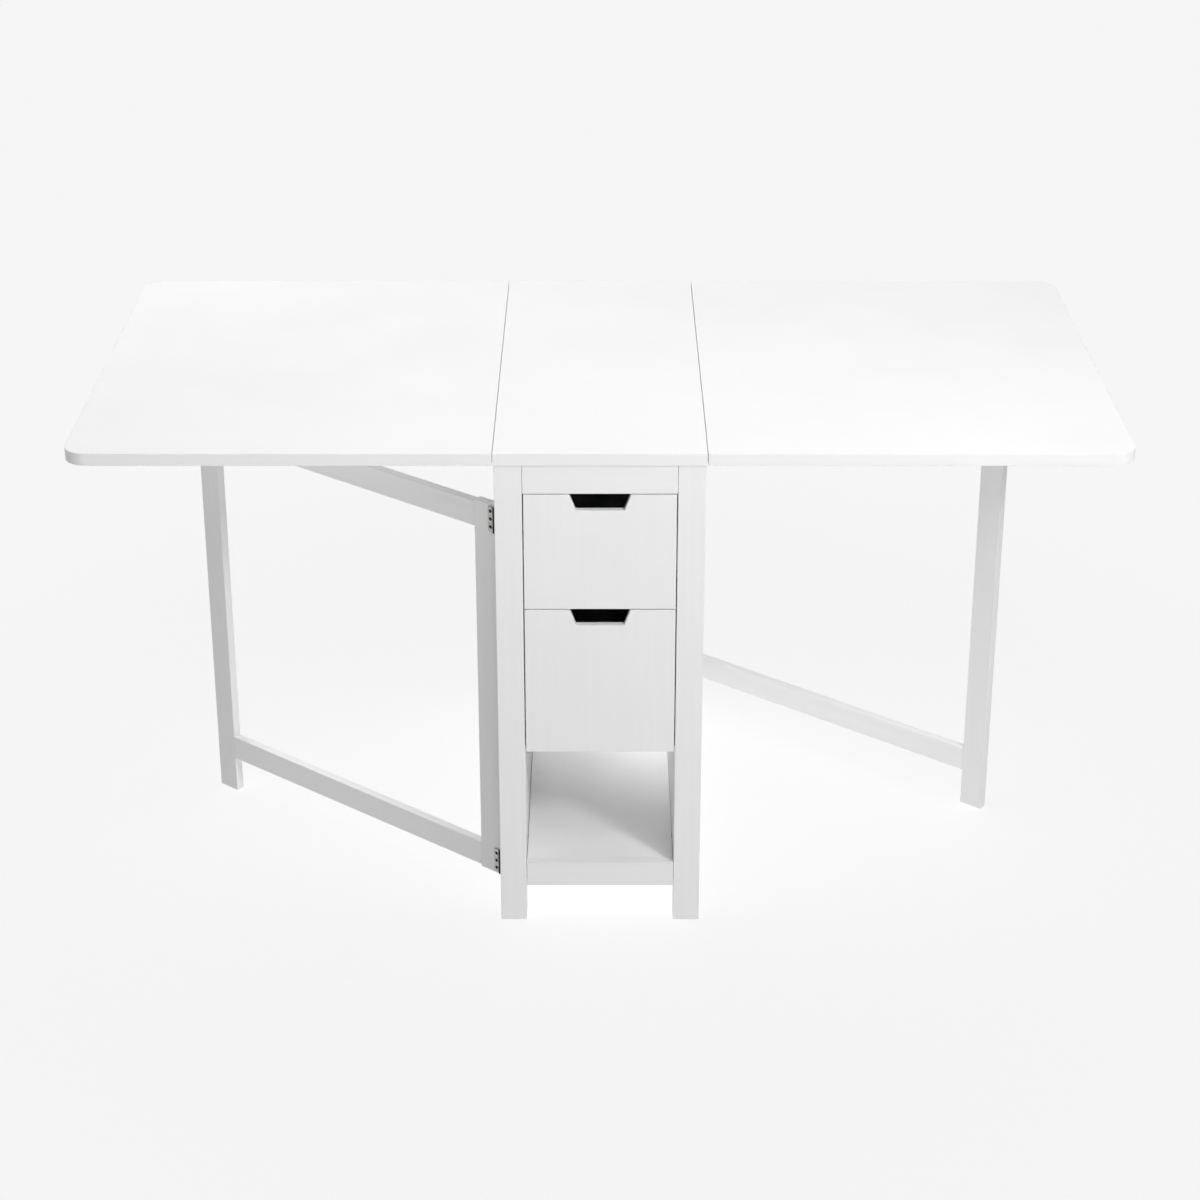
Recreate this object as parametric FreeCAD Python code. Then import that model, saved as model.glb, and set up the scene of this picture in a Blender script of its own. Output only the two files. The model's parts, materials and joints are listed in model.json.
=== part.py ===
# Gateleg table: a narrow cabinet with two drawers, two hinged leaves and two gates that carry them.
#
# Millimetres. +X runs along the opened table, +Y from the drawer end to the back end, and +Z up.
# The origin is on the floor, under the middle of the top. At rest both leaves are up and both gates
# are swung out. Leaves, gates and hinges on the two long sides are the same pieces, half a turn apart.
import FreeCAD, Part
import os

# ---- Table top ----
TABLE_LENGTH = 1500.0
TABLE_DEPTH = 800.0
TABLE_HEIGHT = 750.0
TOP_THICKNESS = 18.0
CENTRE_WIDTH = 300.0
SEAM_GAP = 0.8
LEAF_CORNER_RADIUS = 35.0
TOP_EASE = 0.5

# ---- Cabinet frame ----
CABINET_INSET = 1.5
CABINET_SETBACK = 2.0
LEG_WIDTH = 39.0
LEG_DEPTH = 35.0
SIDE_THICKNESS = 15.0
APRON_HEIGHT = 42.5
APRON_THICKNESS = 18.0
FOOT_CLEARANCE = 59.3
BOTTOM_RAIL_HEIGHT = 39.0
BOTTOM_RAIL_THICKNESS = 16.0
SHELF_THICKNESS = 15.0
BACK_THICKNESS = 16.0
BOARD_EASE = 0.8

# ---- Drawers ----
UPPER_FRONT_HEIGHT = 175.25
LOWER_FRONT_HEIGHT = 227.25
FRONT_THICKNESS = 12.0
FRONT_SIDE_GAP = 1.5
FRONT_GAP = 1.5
NOTCH_TOP_WIDTH = 87.0
NOTCH_BOTTOM_WIDTH = 69.0
NOTCH_DEPTH = 24.0
DRAWER_BOX_LENGTH = 500.0
DRAWER_BOARD = 12.0
DRAWER_BOTTOM = 4.0
DRAWER_BOX_RISE = 22.0
DRAWER_BOX_DROP = 30.0
BOTTOM_GROOVE_RISE = 8.0
HOUSING_DEPTH = 5.0
MIDDLE_PANEL_LIFT = 2.0
MIDDLE_PANEL_GAP = 2.0

# ---- Drawer runners ----
RUNNER_LENGTH = 490.0
RUNNER_HEIGHT = 35.0
RUNNER_WIDTH = 12.7
RUNNER_SHEET = 1.2
RUNNER_SETBACK = 3.0
RUNNER_RISE = 45.0
RUNNER_CLEARANCE = 0.3
RUNNER_SCREW_INSET = 40.0
RUNNER_SCREWS = 3

# ---- Gates ----
GATE_END_ROOM = 103.0
GATE_THICKNESS = 14.2
GATE_POST_WIDTH = 39.0
GATE_RAIL_HEIGHT = 39.0
GATE_UPPER_RAIL_DROP = 78.0
GATE_INNER_POST_OVERHANG = 3.0
GATE_OPEN_ANGLE = 50.0
GATE_LEAF_CLEARANCE = 0.3
GATE_EASE = 0.8
TENON_LENGTH = 22.0
TENON_THICKNESS = 6.0
TENON_SHOULDER = 6.0
GLUE_LINE = 0.1

# ---- Gate hinges ----
GATE_HINGE_LENGTH = 39.0
GATE_HINGE_PLATE_WIDTH = 12.5
GATE_HINGE_SHEET = 1.2
GATE_HINGE_BARREL_RADIUS = 2.2
GATE_HINGE_PIN_RADIUS = 1.1
GATE_HINGE_SCREW_INSET = 7.6
GATE_HINGE_SCREW_PITCH = 12.2
GATE_HINGE_SEAM = 2.0

# ---- Leaf hinges ----
LEAF_HINGE_LENGTH = 50.0
LEAF_HINGE_PLATE_WIDTH = 22.0
LEAF_HINGE_SHEET = 1.5
LEAF_HINGE_BARREL_RADIUS = 3.0
LEAF_HINGE_PIN_RADIUS = 1.5
LEAF_HINGE_SCREW_INSET = 12.5
LEAF_HINGE_SCREW_PITCH = 17.0
LEAF_HINGE_END_INSET = 90.0

# ---- Fits shared by both kinds of hinge ----
HINGE_KNUCKLES = 3
HINGE_SCREWS = 3
KNUCKLE_CLEARANCE = 0.3
PIN_CLEARANCE = 0.05

# ---- Fasteners ----
SCREW_RADIUS = 1.5
SCREW_HEAD_RADIUS = 2.8
SCREW_HEAD_HEIGHT = 1.3
SCREW_LENGTH = 12.0
SCREW_CLEARANCE = 0.05
DOWEL_RADIUS = 3.0
DOWEL_LENGTH = 30.0
DOWEL_CLEARANCE = 0.05
DOWEL_END_ROOM = 0.5
RAIL_DOWEL_PITCH = 18.0
PANEL_DOWEL_INSET = 60.0
BRACKET_SIZE = 25.0
BRACKET_SHEET = 2.0
BRACKET_WIDTH = 20.0
BRACKET_SPREAD = 400.0
BRACKET_SCREW_INSET = 15.0

# ---- Gate stop block under each leaf ----
STOP_LENGTH = 40.0
STOP_WIDTH = 20.0
STOP_HEIGHT = 12.0
STOP_CLEARANCE = 0.3
STOP_SCREW_PITCH = 24.0

# ---- Derived: top and frame ----
UNDERSIDE = TABLE_HEIGHT - TOP_THICKNESS
CENTRE_HALF = CENTRE_WIDTH / 2
HINGE_LINE = CENTRE_HALF + SEAM_GAP / 2
LEAF_INNER = CENTRE_HALF + SEAM_GAP
FRAME_HALF = CENTRE_HALF - CABINET_INSET
FRAME_INNER = FRAME_HALF - LEG_WIDTH
FRAME_FRONT = -TABLE_DEPTH / 2 + CABINET_SETBACK
FRAME_BACK = -FRAME_FRONT
LEG_INNER = FRAME_BACK - LEG_DEPTH
SIDE_OUTER = FRAME_INNER + SIDE_THICKNESS
APRON_BOTTOM = UNDERSIDE - APRON_HEIGHT
RAIL_TOP = FOOT_CLEARANCE + BOTTOM_RAIL_HEIGHT
SHELF_BOTTOM = RAIL_TOP - SHELF_THICKNESS

# ---- Derived: drawer levels ----
UPPER_FRONT_TOP = APRON_BOTTOM - FRONT_GAP
UPPER_FRONT_BOTTOM = UPPER_FRONT_TOP - UPPER_FRONT_HEIGHT
LOWER_FRONT_TOP = UPPER_FRONT_BOTTOM - FRONT_GAP
LOWER_FRONT_BOTTOM = LOWER_FRONT_TOP - LOWER_FRONT_HEIGHT
MIDDLE_PANEL_BOTTOM = LOWER_FRONT_BOTTOM + MIDDLE_PANEL_LIFT
FRONT_BACK_FACE = FRAME_FRONT + FRONT_THICKNESS
DRAWER_HALF = FRAME_INNER - RUNNER_WIDTH
DRAWER_INNER = DRAWER_HALF - DRAWER_BOARD
DRAWER_END = FRONT_BACK_FACE + DRAWER_BOX_LENGTH
RUNNER_START = FRONT_BACK_FACE + RUNNER_SETBACK

# ---- Derived: gates and hinges ----
GATE_PIN_X = -FRAME_HALF - GATE_HINGE_BARREL_RADIUS
GATE_PIN_Y = -LEG_INNER + GATE_HINGE_SEAM / 2
GATE_START = GATE_PIN_Y + GATE_HINGE_SEAM / 2
GATE_END = LEG_INNER - GATE_END_ROOM
GATE_UPPER_RAIL_TOP = UNDERSIDE - GATE_UPPER_RAIL_DROP
GATE_UPPER_RAIL_BOTTOM = GATE_UPPER_RAIL_TOP - GATE_RAIL_HEIGHT
GATE_LOWER_RAIL_TOP = FOOT_CLEARANCE + GATE_RAIL_HEIGHT
GATE_HINGE_LEVELS = (
    FOOT_CLEARANCE + GATE_RAIL_HEIGHT / 2,
    GATE_UPPER_RAIL_BOTTOM + GATE_RAIL_HEIGHT / 2,
)
LEAF_PIN_Z = UNDERSIDE - LEAF_HINGE_BARREL_RADIUS
LEAF_HINGE_REACH = TABLE_DEPTH / 2 - LEAF_HINGE_END_INSET
LEAF_HINGE_PLACES = (-LEAF_HINGE_REACH, 0.0, LEAF_HINGE_REACH)

X_AXIS = FreeCAD.Vector(1, 0, 0)
Y_AXIS = FreeCAD.Vector(0, 1, 0)
Z_AXIS = FreeCAD.Vector(0, 0, 1)
ORIGIN = FreeCAD.Vector(0, 0, 0)
PARALLEL = 0.999


# ---- Basic shapes ----
def block(x, y, z):
    """A box between the low and high value of each axis."""
    corner = FreeCAD.Vector(x[0], y[0], z[0])
    return Part.makeBox(x[1] - x[0], y[1] - y[0], z[1] - z[0], corner)


def eased(solid, size, *axes):
    """The box with a small chamfer along every edge that is parallel to one of the axes."""
    edges = []
    for edge in solid.Edges:
        along = edge.tangentAt(edge.FirstParameter)
        if any(abs(along.dot(axis)) > PARALLEL for axis in axes):
            edges.append(edge)
    return solid.makeChamfer(size, edges)


def drilled(solid, rods, clearance):
    """The solid with a hole for each (start, direction, radius, length) rod, wider by clearance."""
    for start, direction, radius, length in rods:
        solid = solid.cut(Part.makeCylinder(radius + clearance, length, start, direction))
    return solid


def half_turn(shape):
    """The same shape on the other long side of the table."""
    turned = shape.copy()
    turned.rotate(ORIGIN, Z_AXIS, 180)
    return turned


def both_sides(shapes):
    """The shapes and their copies on the other long side."""
    return shapes + [half_turn(shape) for shape in shapes]


def spaced(count, pitch):
    """Offsets of count points at the given pitch, centred on zero."""
    return [(index - (count - 1) / 2) * pitch for index in range(count)]


# ---- Screws ----
def screw(place, direction):
    """A countersunk wood screw with its flat head at place, driven along direction."""
    head = Part.makeCone(SCREW_HEAD_RADIUS, SCREW_RADIUS, SCREW_HEAD_HEIGHT, place, direction)
    shank = Part.makeCylinder(SCREW_RADIUS, SCREW_LENGTH, place, direction)
    return head.fuse(shank).removeSplitter()


def screw_hole(place, direction):
    """The countersunk hole that a screw at the same place needs."""
    wide = SCREW_HEAD_RADIUS + SCREW_CLEARANCE
    narrow = SCREW_RADIUS + SCREW_CLEARANCE
    sink = Part.makeCone(wide, narrow, SCREW_HEAD_HEIGHT, place, direction)
    bore = Part.makeCylinder(narrow, SCREW_LENGTH + DOWEL_END_ROOM, place, direction)
    return sink.fuse(bore)


def screwed(solid, screws):
    """The solid with a hole for each (place, direction) screw."""
    for place, direction in screws:
        hole = screw_hole(place, direction)
        if solid.BoundBox.intersect(hole.BoundBox):
            solid = solid.cut(hole)
    return solid


# ---- Dowels: each is (start, direction, radius, length) ----
def rail_dowels(y, z):
    """Dowels that join both ends of a cross rail, centred at y and z, to its two legs."""
    rods = []
    for side in (-1, 1):
        for rise in spaced(2, RAIL_DOWEL_PITCH):
            start = FreeCAD.Vector(side * FRAME_INNER - DOWEL_LENGTH / 2, y, z + rise)
            rods.append((start, X_AXIS, DOWEL_RADIUS, DOWEL_LENGTH))
    return rods


def side_panel_dowels():
    """Dowels that join the upright edges of both side panels to the legs."""
    rods = []
    x = FRAME_INNER + SIDE_THICKNESS / 2
    low = FOOT_CLEARANCE + PANEL_DOWEL_INSET
    high = UNDERSIDE - PANEL_DOWEL_INSET
    for side in (-1, 1):
        for y in (-LEG_INNER, LEG_INNER):
            for z in (low, (low + high) / 2, high):
                start = FreeCAD.Vector(side * x, y - DOWEL_LENGTH / 2, z)
                rods.append((start, Y_AXIS, DOWEL_RADIUS, DOWEL_LENGTH))
    return rods


def board_dowels(z):
    """Dowels that join a level board at height z to both side panels."""
    rods = []
    reach = LEG_INNER - PANEL_DOWEL_INSET
    depth = SIDE_THICKNESS - DOWEL_RADIUS
    for side in (-1, 1):
        for y in (-reach, 0.0, reach):
            start = FreeCAD.Vector(side * (FRAME_INNER + depth), y, z)
            rods.append((start, X_AXIS * -side, DOWEL_RADIUS, DOWEL_LENGTH))
    return rods


APRON_Y = FRAME_FRONT + APRON_THICKNESS / 2
APRON_Z = (APRON_BOTTOM + UNDERSIDE) / 2
BOTTOM_RAIL_Y = FRAME_FRONT + BOTTOM_RAIL_THICKNESS / 2
BOTTOM_RAIL_Z = (FOOT_CLEARANCE + RAIL_TOP) / 2
BACK_PANEL_Y = FRAME_BACK - BACK_THICKNESS / 2
BACK_PANEL_Z = (LOWER_FRONT_BOTTOM + APRON_BOTTOM) / 2
FRAME_DOWELS = (
    rail_dowels(APRON_Y, APRON_Z)
    + rail_dowels(-APRON_Y, APRON_Z)
    + rail_dowels(BOTTOM_RAIL_Y, BOTTOM_RAIL_Z)
    + rail_dowels(-BOTTOM_RAIL_Y, BOTTOM_RAIL_Z)
    + rail_dowels(BACK_PANEL_Y, BACK_PANEL_Z)
    + side_panel_dowels()
    + board_dowels(SHELF_BOTTOM + SHELF_THICKNESS / 2)
    + board_dowels(MIDDLE_PANEL_BOTTOM + SHELF_THICKNESS / 2)
)


def dowelled(solid):
    """The solid with a blind hole for every frame dowel that reaches into it."""
    rods = []
    for start, direction, radius, length in FRAME_DOWELS:
        if solid.BoundBox.intersect(Part.makeCylinder(radius, length, start, direction).BoundBox):
            roomy = start - direction * DOWEL_END_ROOM
            rods.append((roomy, direction, radius, length + 2 * DOWEL_END_ROOM))
    return drilled(solid, rods, DOWEL_CLEARANCE)


# ---- Hinges: made flat, with the pin on the Z axis and the plates on the plane y = 0 ----
def knuckle_spans(length, own):
    """Low and high ends of the knuckles: the end ones for the fixed plate, else the middle one."""
    step = length / HINGE_KNUCKLES
    spans = []
    for index in range(HINGE_KNUCKLES):
        if (index % 2 == 0) == own:
            low = index * step - length / 2 + (KNUCKLE_CLEARANCE / 2 if index else 0)
            last = index == HINGE_KNUCKLES - 1
            high = (index + 1) * step - length / 2 - (0 if last else KNUCKLE_CLEARANCE / 2)
            spans.append((low, high))
    return spans


def hinge_plate(length, width, sheet, barrel, pin, side, fixed):
    """One plate with its knuckles. It reaches towards side (-1 or 1) along X and lies on y = 0.

    The pin stands one barrel radius off the mounting plane, on the -Y side.
    """
    centre = -barrel
    low, high = sorted((0.0, side * width))
    plate = block((low, high), (-sheet, 0.0), (-length / 2, length / 2))
    room = barrel + KNUCKLE_CLEARANCE
    for start, end in knuckle_spans(length, not fixed):
        gap = (start - KNUCKLE_CLEARANCE, end + KNUCKLE_CLEARANCE)
        plate = plate.cut(block((-room, room), (centre - room, centre + room), gap))
    for start, end in knuckle_spans(length, fixed):
        base = FreeCAD.Vector(0, centre, start)
        plate = plate.fuse(Part.makeCylinder(barrel, end - start, base, Z_AXIS))
    bore_base = FreeCAD.Vector(0, centre, -length)
    return plate.cut(Part.makeCylinder(pin + PIN_CLEARANCE, 2 * length, bore_base, Z_AXIS))


def plate_screws(inset, pitch, sheet, side):
    """Places of the screws of one plate, with their heads flush with the plate's face."""
    places = []
    for rise in spaced(HINGE_SCREWS, pitch):
        places.append((FreeCAD.Vector(side * inset, -sheet, rise), Y_AXIS))
    return places


def placed(shape, placement):
    """A copy of the shape, moved by the placement."""
    moved = shape.copy()
    moved.Placement = placement.multiply(moved.Placement)
    return moved


def placed_screws(screws, placement):
    """The (place, direction) screws, moved by the placement."""
    turned = []
    for place, direction in screws:
        turned.append((placement.multVec(place), placement.Rotation.multVec(direction)))
    return turned


GATE_HINGE = (GATE_HINGE_LENGTH, GATE_HINGE_PLATE_WIDTH, GATE_HINGE_SHEET,
              GATE_HINGE_BARREL_RADIUS, GATE_HINGE_PIN_RADIUS)
LEAF_HINGE = (LEAF_HINGE_LENGTH, LEAF_HINGE_PLATE_WIDTH, LEAF_HINGE_SHEET,
              LEAF_HINGE_BARREL_RADIUS, LEAF_HINGE_PIN_RADIUS)
# A flat hinge turned onto the leg's outer side: its +X plate goes on the leg, its -X one on the gate.
GATE_HINGE_SEATS = [
    FreeCAD.Placement(FreeCAD.Vector(-FRAME_HALF, GATE_PIN_Y, z), FreeCAD.Rotation(Z_AXIS, -90))
    for z in GATE_HINGE_LEVELS
]
# A flat hinge turned onto the underside: its +X plate goes on the centre board, its -X one on the leaf.
LEAF_HINGE_SEATS = [
    FreeCAD.Placement(FreeCAD.Vector(-HINGE_LINE, y, UNDERSIDE), FreeCAD.Rotation(X_AXIS, 90))
    for y in LEAF_HINGE_PLACES
]


def seated_plates(sizes, seats, side, fixed):
    """The plates of one kind on the left side, one for each seat."""
    plates = []
    for seat in seats:
        plate = hinge_plate(*sizes, side, fixed)
        pierced = screwed(plate, local_plate_screws(sizes, side))
        plates.append(placed(pierced, seat))
    return plates


def local_plate_screws(sizes, side):
    """The screws of one flat hinge plate."""
    if sizes is GATE_HINGE:
        return plate_screws(GATE_HINGE_SCREW_INSET, GATE_HINGE_SCREW_PITCH, GATE_HINGE_SHEET, side)
    return plate_screws(LEAF_HINGE_SCREW_INSET, LEAF_HINGE_SCREW_PITCH, LEAF_HINGE_SHEET, side)


def seated_screws(sizes, seats, side):
    """The screws of every plate of one kind on the left side."""
    screws = []
    for seat in seats:
        screws += placed_screws(local_plate_screws(sizes, side), seat)
    return screws


def seated_pins(sizes, seats):
    """The pins of one kind of hinge on the left side."""
    length, barrel, radius = sizes[0], sizes[3], sizes[4]
    base = FreeCAD.Vector(0, -barrel, -length / 2)
    return [placed(Part.makeCylinder(radius, length, base, Z_AXIS), seat) for seat in seats]


def turned_screws(screws):
    """The same screws on the other long side of the table."""
    half = FreeCAD.Rotation(Z_AXIS, 180)
    return [(half.multVec(place), half.multVec(direction)) for place, direction in screws]


def screw_group(screws):
    """All the screws of a list as one group of separate solids."""
    return Part.makeCompound([screw(place, direction) for place, direction in screws])


# ---- Screws of the cabinet ----
def bracket_screws():
    """One screw up into the top and one into the side panel for each top bracket."""
    screws = []
    for side in (-1, 1):
        for y in spaced(2, BRACKET_SPREAD):
            up_x = side * (FRAME_INNER - BRACKET_SCREW_INSET)
            across_x = side * (FRAME_INNER - BRACKET_SHEET)
            up = FreeCAD.Vector(up_x, y, UNDERSIDE - BRACKET_SHEET)
            across = FreeCAD.Vector(across_x, y, UNDERSIDE - BRACKET_SCREW_INSET)
            screws.append((up, Z_AXIS))
            screws.append((across, X_AXIS * side))
    return screws


def runner_screw_rows(x, facing):
    """Screws through a runner's web at +-x, driven outwards (facing 1) or inwards (facing -1)."""
    screws = []
    pitch = (RUNNER_LENGTH - 2 * RUNNER_SCREW_INSET) / (RUNNER_SCREWS - 1)
    middle = RUNNER_START + RUNNER_LENGTH / 2
    for side in (-1, 1):
        for offset in spaced(RUNNER_SCREWS, pitch):
            screws.append((FreeCAD.Vector(side * x, middle + offset, 0), X_AXIS * side * facing))
    return screws


def raised_screws(screws, z):
    """The screws moved up by z."""
    return [(place + FreeCAD.Vector(0, 0, z), direction) for place, direction in screws]


def runner_level(front_bottom):
    """Height of the middle of the runners of the drawer whose front starts at front_bottom."""
    return front_bottom + DRAWER_BOX_RISE + RUNNER_RISE


LEG_HINGE_SCREWS = seated_screws(GATE_HINGE, GATE_HINGE_SEATS, 1)
TOP_HINGE_SCREWS = seated_screws(LEAF_HINGE, LEAF_HINGE_SEATS, 1)
CABINET_HINGE_SCREWS = (
    LEG_HINGE_SCREWS + turned_screws(LEG_HINGE_SCREWS)
    + TOP_HINGE_SCREWS + turned_screws(TOP_HINGE_SCREWS)
)
CHANNEL_SCREWS = runner_screw_rows(FRAME_INNER - RUNNER_SHEET, 1)
CABINET_FIXING_SCREWS = (
    bracket_screws()
    + raised_screws(CHANNEL_SCREWS, runner_level(LOWER_FRONT_BOTTOM))
    + raised_screws(CHANNEL_SCREWS, runner_level(UPPER_FRONT_BOTTOM))
)
CABINET_SCREWS = CABINET_HINGE_SCREWS + CABINET_FIXING_SCREWS


# ---- Cabinet ----
def centre_board():
    """The fixed middle board of the top."""
    edge = TABLE_DEPTH / 2
    board = block((-CENTRE_HALF, CENTRE_HALF), (-edge, edge), (UNDERSIDE, TABLE_HEIGHT))
    return screwed(eased(board, TOP_EASE, X_AXIS, Y_AXIS), CABINET_SCREWS)


def leg(side, end):
    """The leg on one side (-1 left) and at one end (-1 front)."""
    x = sorted((side * FRAME_INNER, side * FRAME_HALF))
    y = sorted((end * LEG_INNER, end * FRAME_BACK))
    post = eased(block(x, y, (0.0, UNDERSIDE)), BOARD_EASE, Z_AXIS)
    return screwed(dowelled(post), CABINET_SCREWS)


def side_panel(side):
    """The upright board between the two legs of one side, flush with their inner faces."""
    x = sorted((side * FRAME_INNER, side * SIDE_OUTER))
    panel = block(x, (-LEG_INNER, LEG_INNER), (FOOT_CLEARANCE, UNDERSIDE))
    return screwed(dowelled(panel), CABINET_SCREWS)


def cross_rail(end, thickness, z, ease_axis):
    """A rail between the two legs of one end, flush with their outer faces."""
    inner = FRAME_BACK - thickness
    y = sorted((end * inner, end * FRAME_BACK))
    rail = block((-FRAME_INNER, FRAME_INNER), y, z)
    return dowelled(eased(rail, BOARD_EASE, ease_axis))


def level_board(y, bottom):
    """A level board between the side panels."""
    board = block((-FRAME_INNER, FRAME_INNER), y, (bottom, bottom + SHELF_THICKNESS))
    return dowelled(board)


def top_brackets():
    """Four small angle brackets that hold the centre board on the side panels."""
    brackets = []
    for side in (-1, 1):
        for y in spaced(2, BRACKET_SPREAD):
            width = (y - BRACKET_WIDTH / 2, y + BRACKET_WIDTH / 2)
            outer = side * FRAME_INNER
            upright_x = sorted((outer, outer - side * BRACKET_SHEET))
            level_x = sorted((outer, outer - side * BRACKET_SIZE))
            upright = block(upright_x, width, (UNDERSIDE - BRACKET_SIZE, UNDERSIDE))
            level = block(level_x, width, (UNDERSIDE - BRACKET_SHEET, UNDERSIDE))
            bracket = upright.fuse(level).removeSplitter()
            brackets.append(screwed(bracket, CABINET_SCREWS))
    return Part.makeCompound(brackets)


def channel(x_web, reach, half_height, side, screws):
    """A runner member: an upright web with its outer face at x_web and two flanges towards reach."""
    y = (RUNNER_START, RUNNER_START + RUNNER_LENGTH)
    towards = 1 if reach > x_web else -1
    web_x = sorted((side * x_web, side * (x_web + towards * RUNNER_SHEET)))
    flange_x = sorted((side * x_web, side * reach))
    member = block(web_x, y, (-half_height, half_height))
    for low in (-half_height, half_height - RUNNER_SHEET):
        member = member.fuse(block(flange_x, y, (low, low + RUNNER_SHEET)))
    return screwed(member.removeSplitter(), screws)


def runner_channels(front_bottom):
    """The pair of outer runner members of one drawer, on the cabinet's sides."""
    reach = DRAWER_HALF + RUNNER_SHEET + FRONT_SIDE_GAP
    pair = [channel(FRAME_INNER, reach, RUNNER_HEIGHT / 2, side, CHANNEL_SCREWS) for side in (-1, 1)]
    group = Part.makeCompound(pair)
    group.translate(FreeCAD.Vector(0, 0, runner_level(front_bottom)))
    return group


def cabinet_pieces():
    """Everything that stands still."""
    pieces = {"top_centre": centre_board()}
    for end, end_name in ((-1, "front"), (1, "back")):
        for side, side_name in ((-1, "left"), (1, "right")):
            pieces[f"leg_{end_name}_{side_name}"] = leg(side, end)
        apron_z = (APRON_BOTTOM, UNDERSIDE)
        pieces[f"apron_{end_name}"] = cross_rail(end, APRON_THICKNESS, apron_z, X_AXIS)
        rail_z = (FOOT_CLEARANCE, RAIL_TOP)
        pieces[f"bottom_rail_{end_name}"] = cross_rail(end, BOTTOM_RAIL_THICKNESS, rail_z, X_AXIS)
    pieces["side_panel_left"] = side_panel(-1)
    pieces["side_panel_right"] = side_panel(1)
    shelf_reach = FRAME_BACK - BOTTOM_RAIL_THICKNESS
    pieces["bottom_shelf"] = level_board((-shelf_reach, shelf_reach), SHELF_BOTTOM)
    panel_y = (FRONT_BACK_FACE + MIDDLE_PANEL_GAP, FRAME_BACK - BACK_THICKNESS)
    pieces["middle_panel"] = level_board(panel_y, MIDDLE_PANEL_BOTTOM)
    pieces["back_panel"] = cross_rail(1, BACK_THICKNESS, (LOWER_FRONT_BOTTOM, APRON_BOTTOM), X_AXIS)
    pieces["upper_runner_channels"] = runner_channels(UPPER_FRONT_BOTTOM)
    pieces["lower_runner_channels"] = runner_channels(LOWER_FRONT_BOTTOM)
    pieces["top_brackets"] = top_brackets()
    leg_plates = seated_plates(GATE_HINGE, GATE_HINGE_SEATS, 1, True)
    pieces["gate_hinge_leg_plates"] = Part.makeCompound(both_sides(leg_plates))
    top_plates = seated_plates(LEAF_HINGE, LEAF_HINGE_SEATS, 1, True)
    pieces["leaf_hinge_centre_plates"] = Part.makeCompound(both_sides(top_plates))
    pieces["cabinet_hinge_screws"] = screw_group(CABINET_HINGE_SCREWS)
    pieces["cabinet_fixing_screws"] = screw_group(CABINET_FIXING_SCREWS)
    pieces["frame_dowels"] = Part.makeCompound(
        [Part.makeCylinder(radius, length, start, way) for start, way, radius, length in FRAME_DOWELS]
    )
    return pieces


# ---- Drawers ----
def notch(front_top):
    """The finger notch in the top edge of a drawer front: wide at the top, narrower at its floor."""
    corners = [
        (-NOTCH_TOP_WIDTH / 2, front_top),
        (-NOTCH_BOTTOM_WIDTH / 2, front_top - NOTCH_DEPTH),
        (NOTCH_BOTTOM_WIDTH / 2, front_top - NOTCH_DEPTH),
        (NOTCH_TOP_WIDTH / 2, front_top),
    ]
    outline = [FreeCAD.Vector(x, FRAME_FRONT, z) for x, z in corners]
    face = Part.Face(Part.makePolygon(outline + outline[:1]))
    return face.extrude(FreeCAD.Vector(0, FRONT_THICKNESS, 0))


def drawer_pieces(name, front_bottom, front_top):
    """One drawer: a notched front, two sides, back and bottom in housings, and its runner members."""
    low = front_bottom + DRAWER_BOX_RISE
    high = front_top - DRAWER_BOX_DROP
    side_y = (FRONT_BACK_FACE - HOUSING_DEPTH, DRAWER_END)
    right_side = block((DRAWER_INNER, DRAWER_HALF), side_y, (low, high))
    left_side = block((-DRAWER_HALF, -DRAWER_INNER), side_y, (low, high))

    housed = DRAWER_INNER + HOUSING_DEPTH
    back_end = DRAWER_END - DRAWER_BOARD
    back_start = back_end - DRAWER_BOARD
    back = block((-housed, housed), (back_start, back_end), (low, high))

    floor = low + BOTTOM_GROOVE_RISE
    bottom_x = (-housed, housed)
    bottom_y = (FRONT_BACK_FACE - HOUSING_DEPTH, back_start + HOUSING_DEPTH)
    groove = block(bottom_x, bottom_y, (floor, floor + DRAWER_BOTTOM))
    loose_x = (-housed + GLUE_LINE, housed - GLUE_LINE)
    loose_y = (bottom_y[0] + GLUE_LINE, bottom_y[1] - GLUE_LINE)
    bottom = block(loose_x, loose_y, (floor, floor + DRAWER_BOTTOM))

    face_half = FRAME_INNER - FRONT_SIDE_GAP
    face_y = (FRAME_FRONT, FRONT_BACK_FACE)
    front = block((-face_half, face_half), face_y, (front_bottom, front_top))
    front = eased(front, BOARD_EASE, X_AXIS, Z_AXIS)
    front = front.cut(notch(front_top)).cut(right_side).cut(left_side).cut(groove)

    level = runner_level(front_bottom)
    web = DRAWER_HALF + RUNNER_SHEET
    screws = runner_screw_rows(web, -1)
    reach = FRAME_INNER - RUNNER_SHEET - RUNNER_CLEARANCE
    half_height = RUNNER_HEIGHT / 2 - RUNNER_SHEET - RUNNER_CLEARANCE
    pair = [channel(DRAWER_HALF, reach, half_height, side, screws) for side in (-1, 1)]
    runners = Part.makeCompound(pair)
    runners.translate(FreeCAD.Vector(0, 0, level))
    level_screws = raised_screws(screws, level)
    return {
        f"{name}_front": front,
        f"{name}_side_left": screwed(left_side.cut(back).cut(groove), level_screws),
        f"{name}_side_right": screwed(right_side.cut(back).cut(groove), level_screws),
        f"{name}_back": back.cut(groove),
        f"{name}_bottom": bottom,
        f"{name}_runners": runners,
        f"{name}_runner_screws": screw_group(level_screws),
    }


# ---- Gates: made folded on the left side, then swung open about the hinge pin ----
def opened(shape):
    """The shape swung out with the left gate from its folded place to its rest place."""
    swung = shape.copy()
    swung.rotate(FreeCAD.Vector(GATE_PIN_X, GATE_PIN_Y, 0), Z_AXIS, GATE_OPEN_ANGLE)
    return swung


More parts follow.
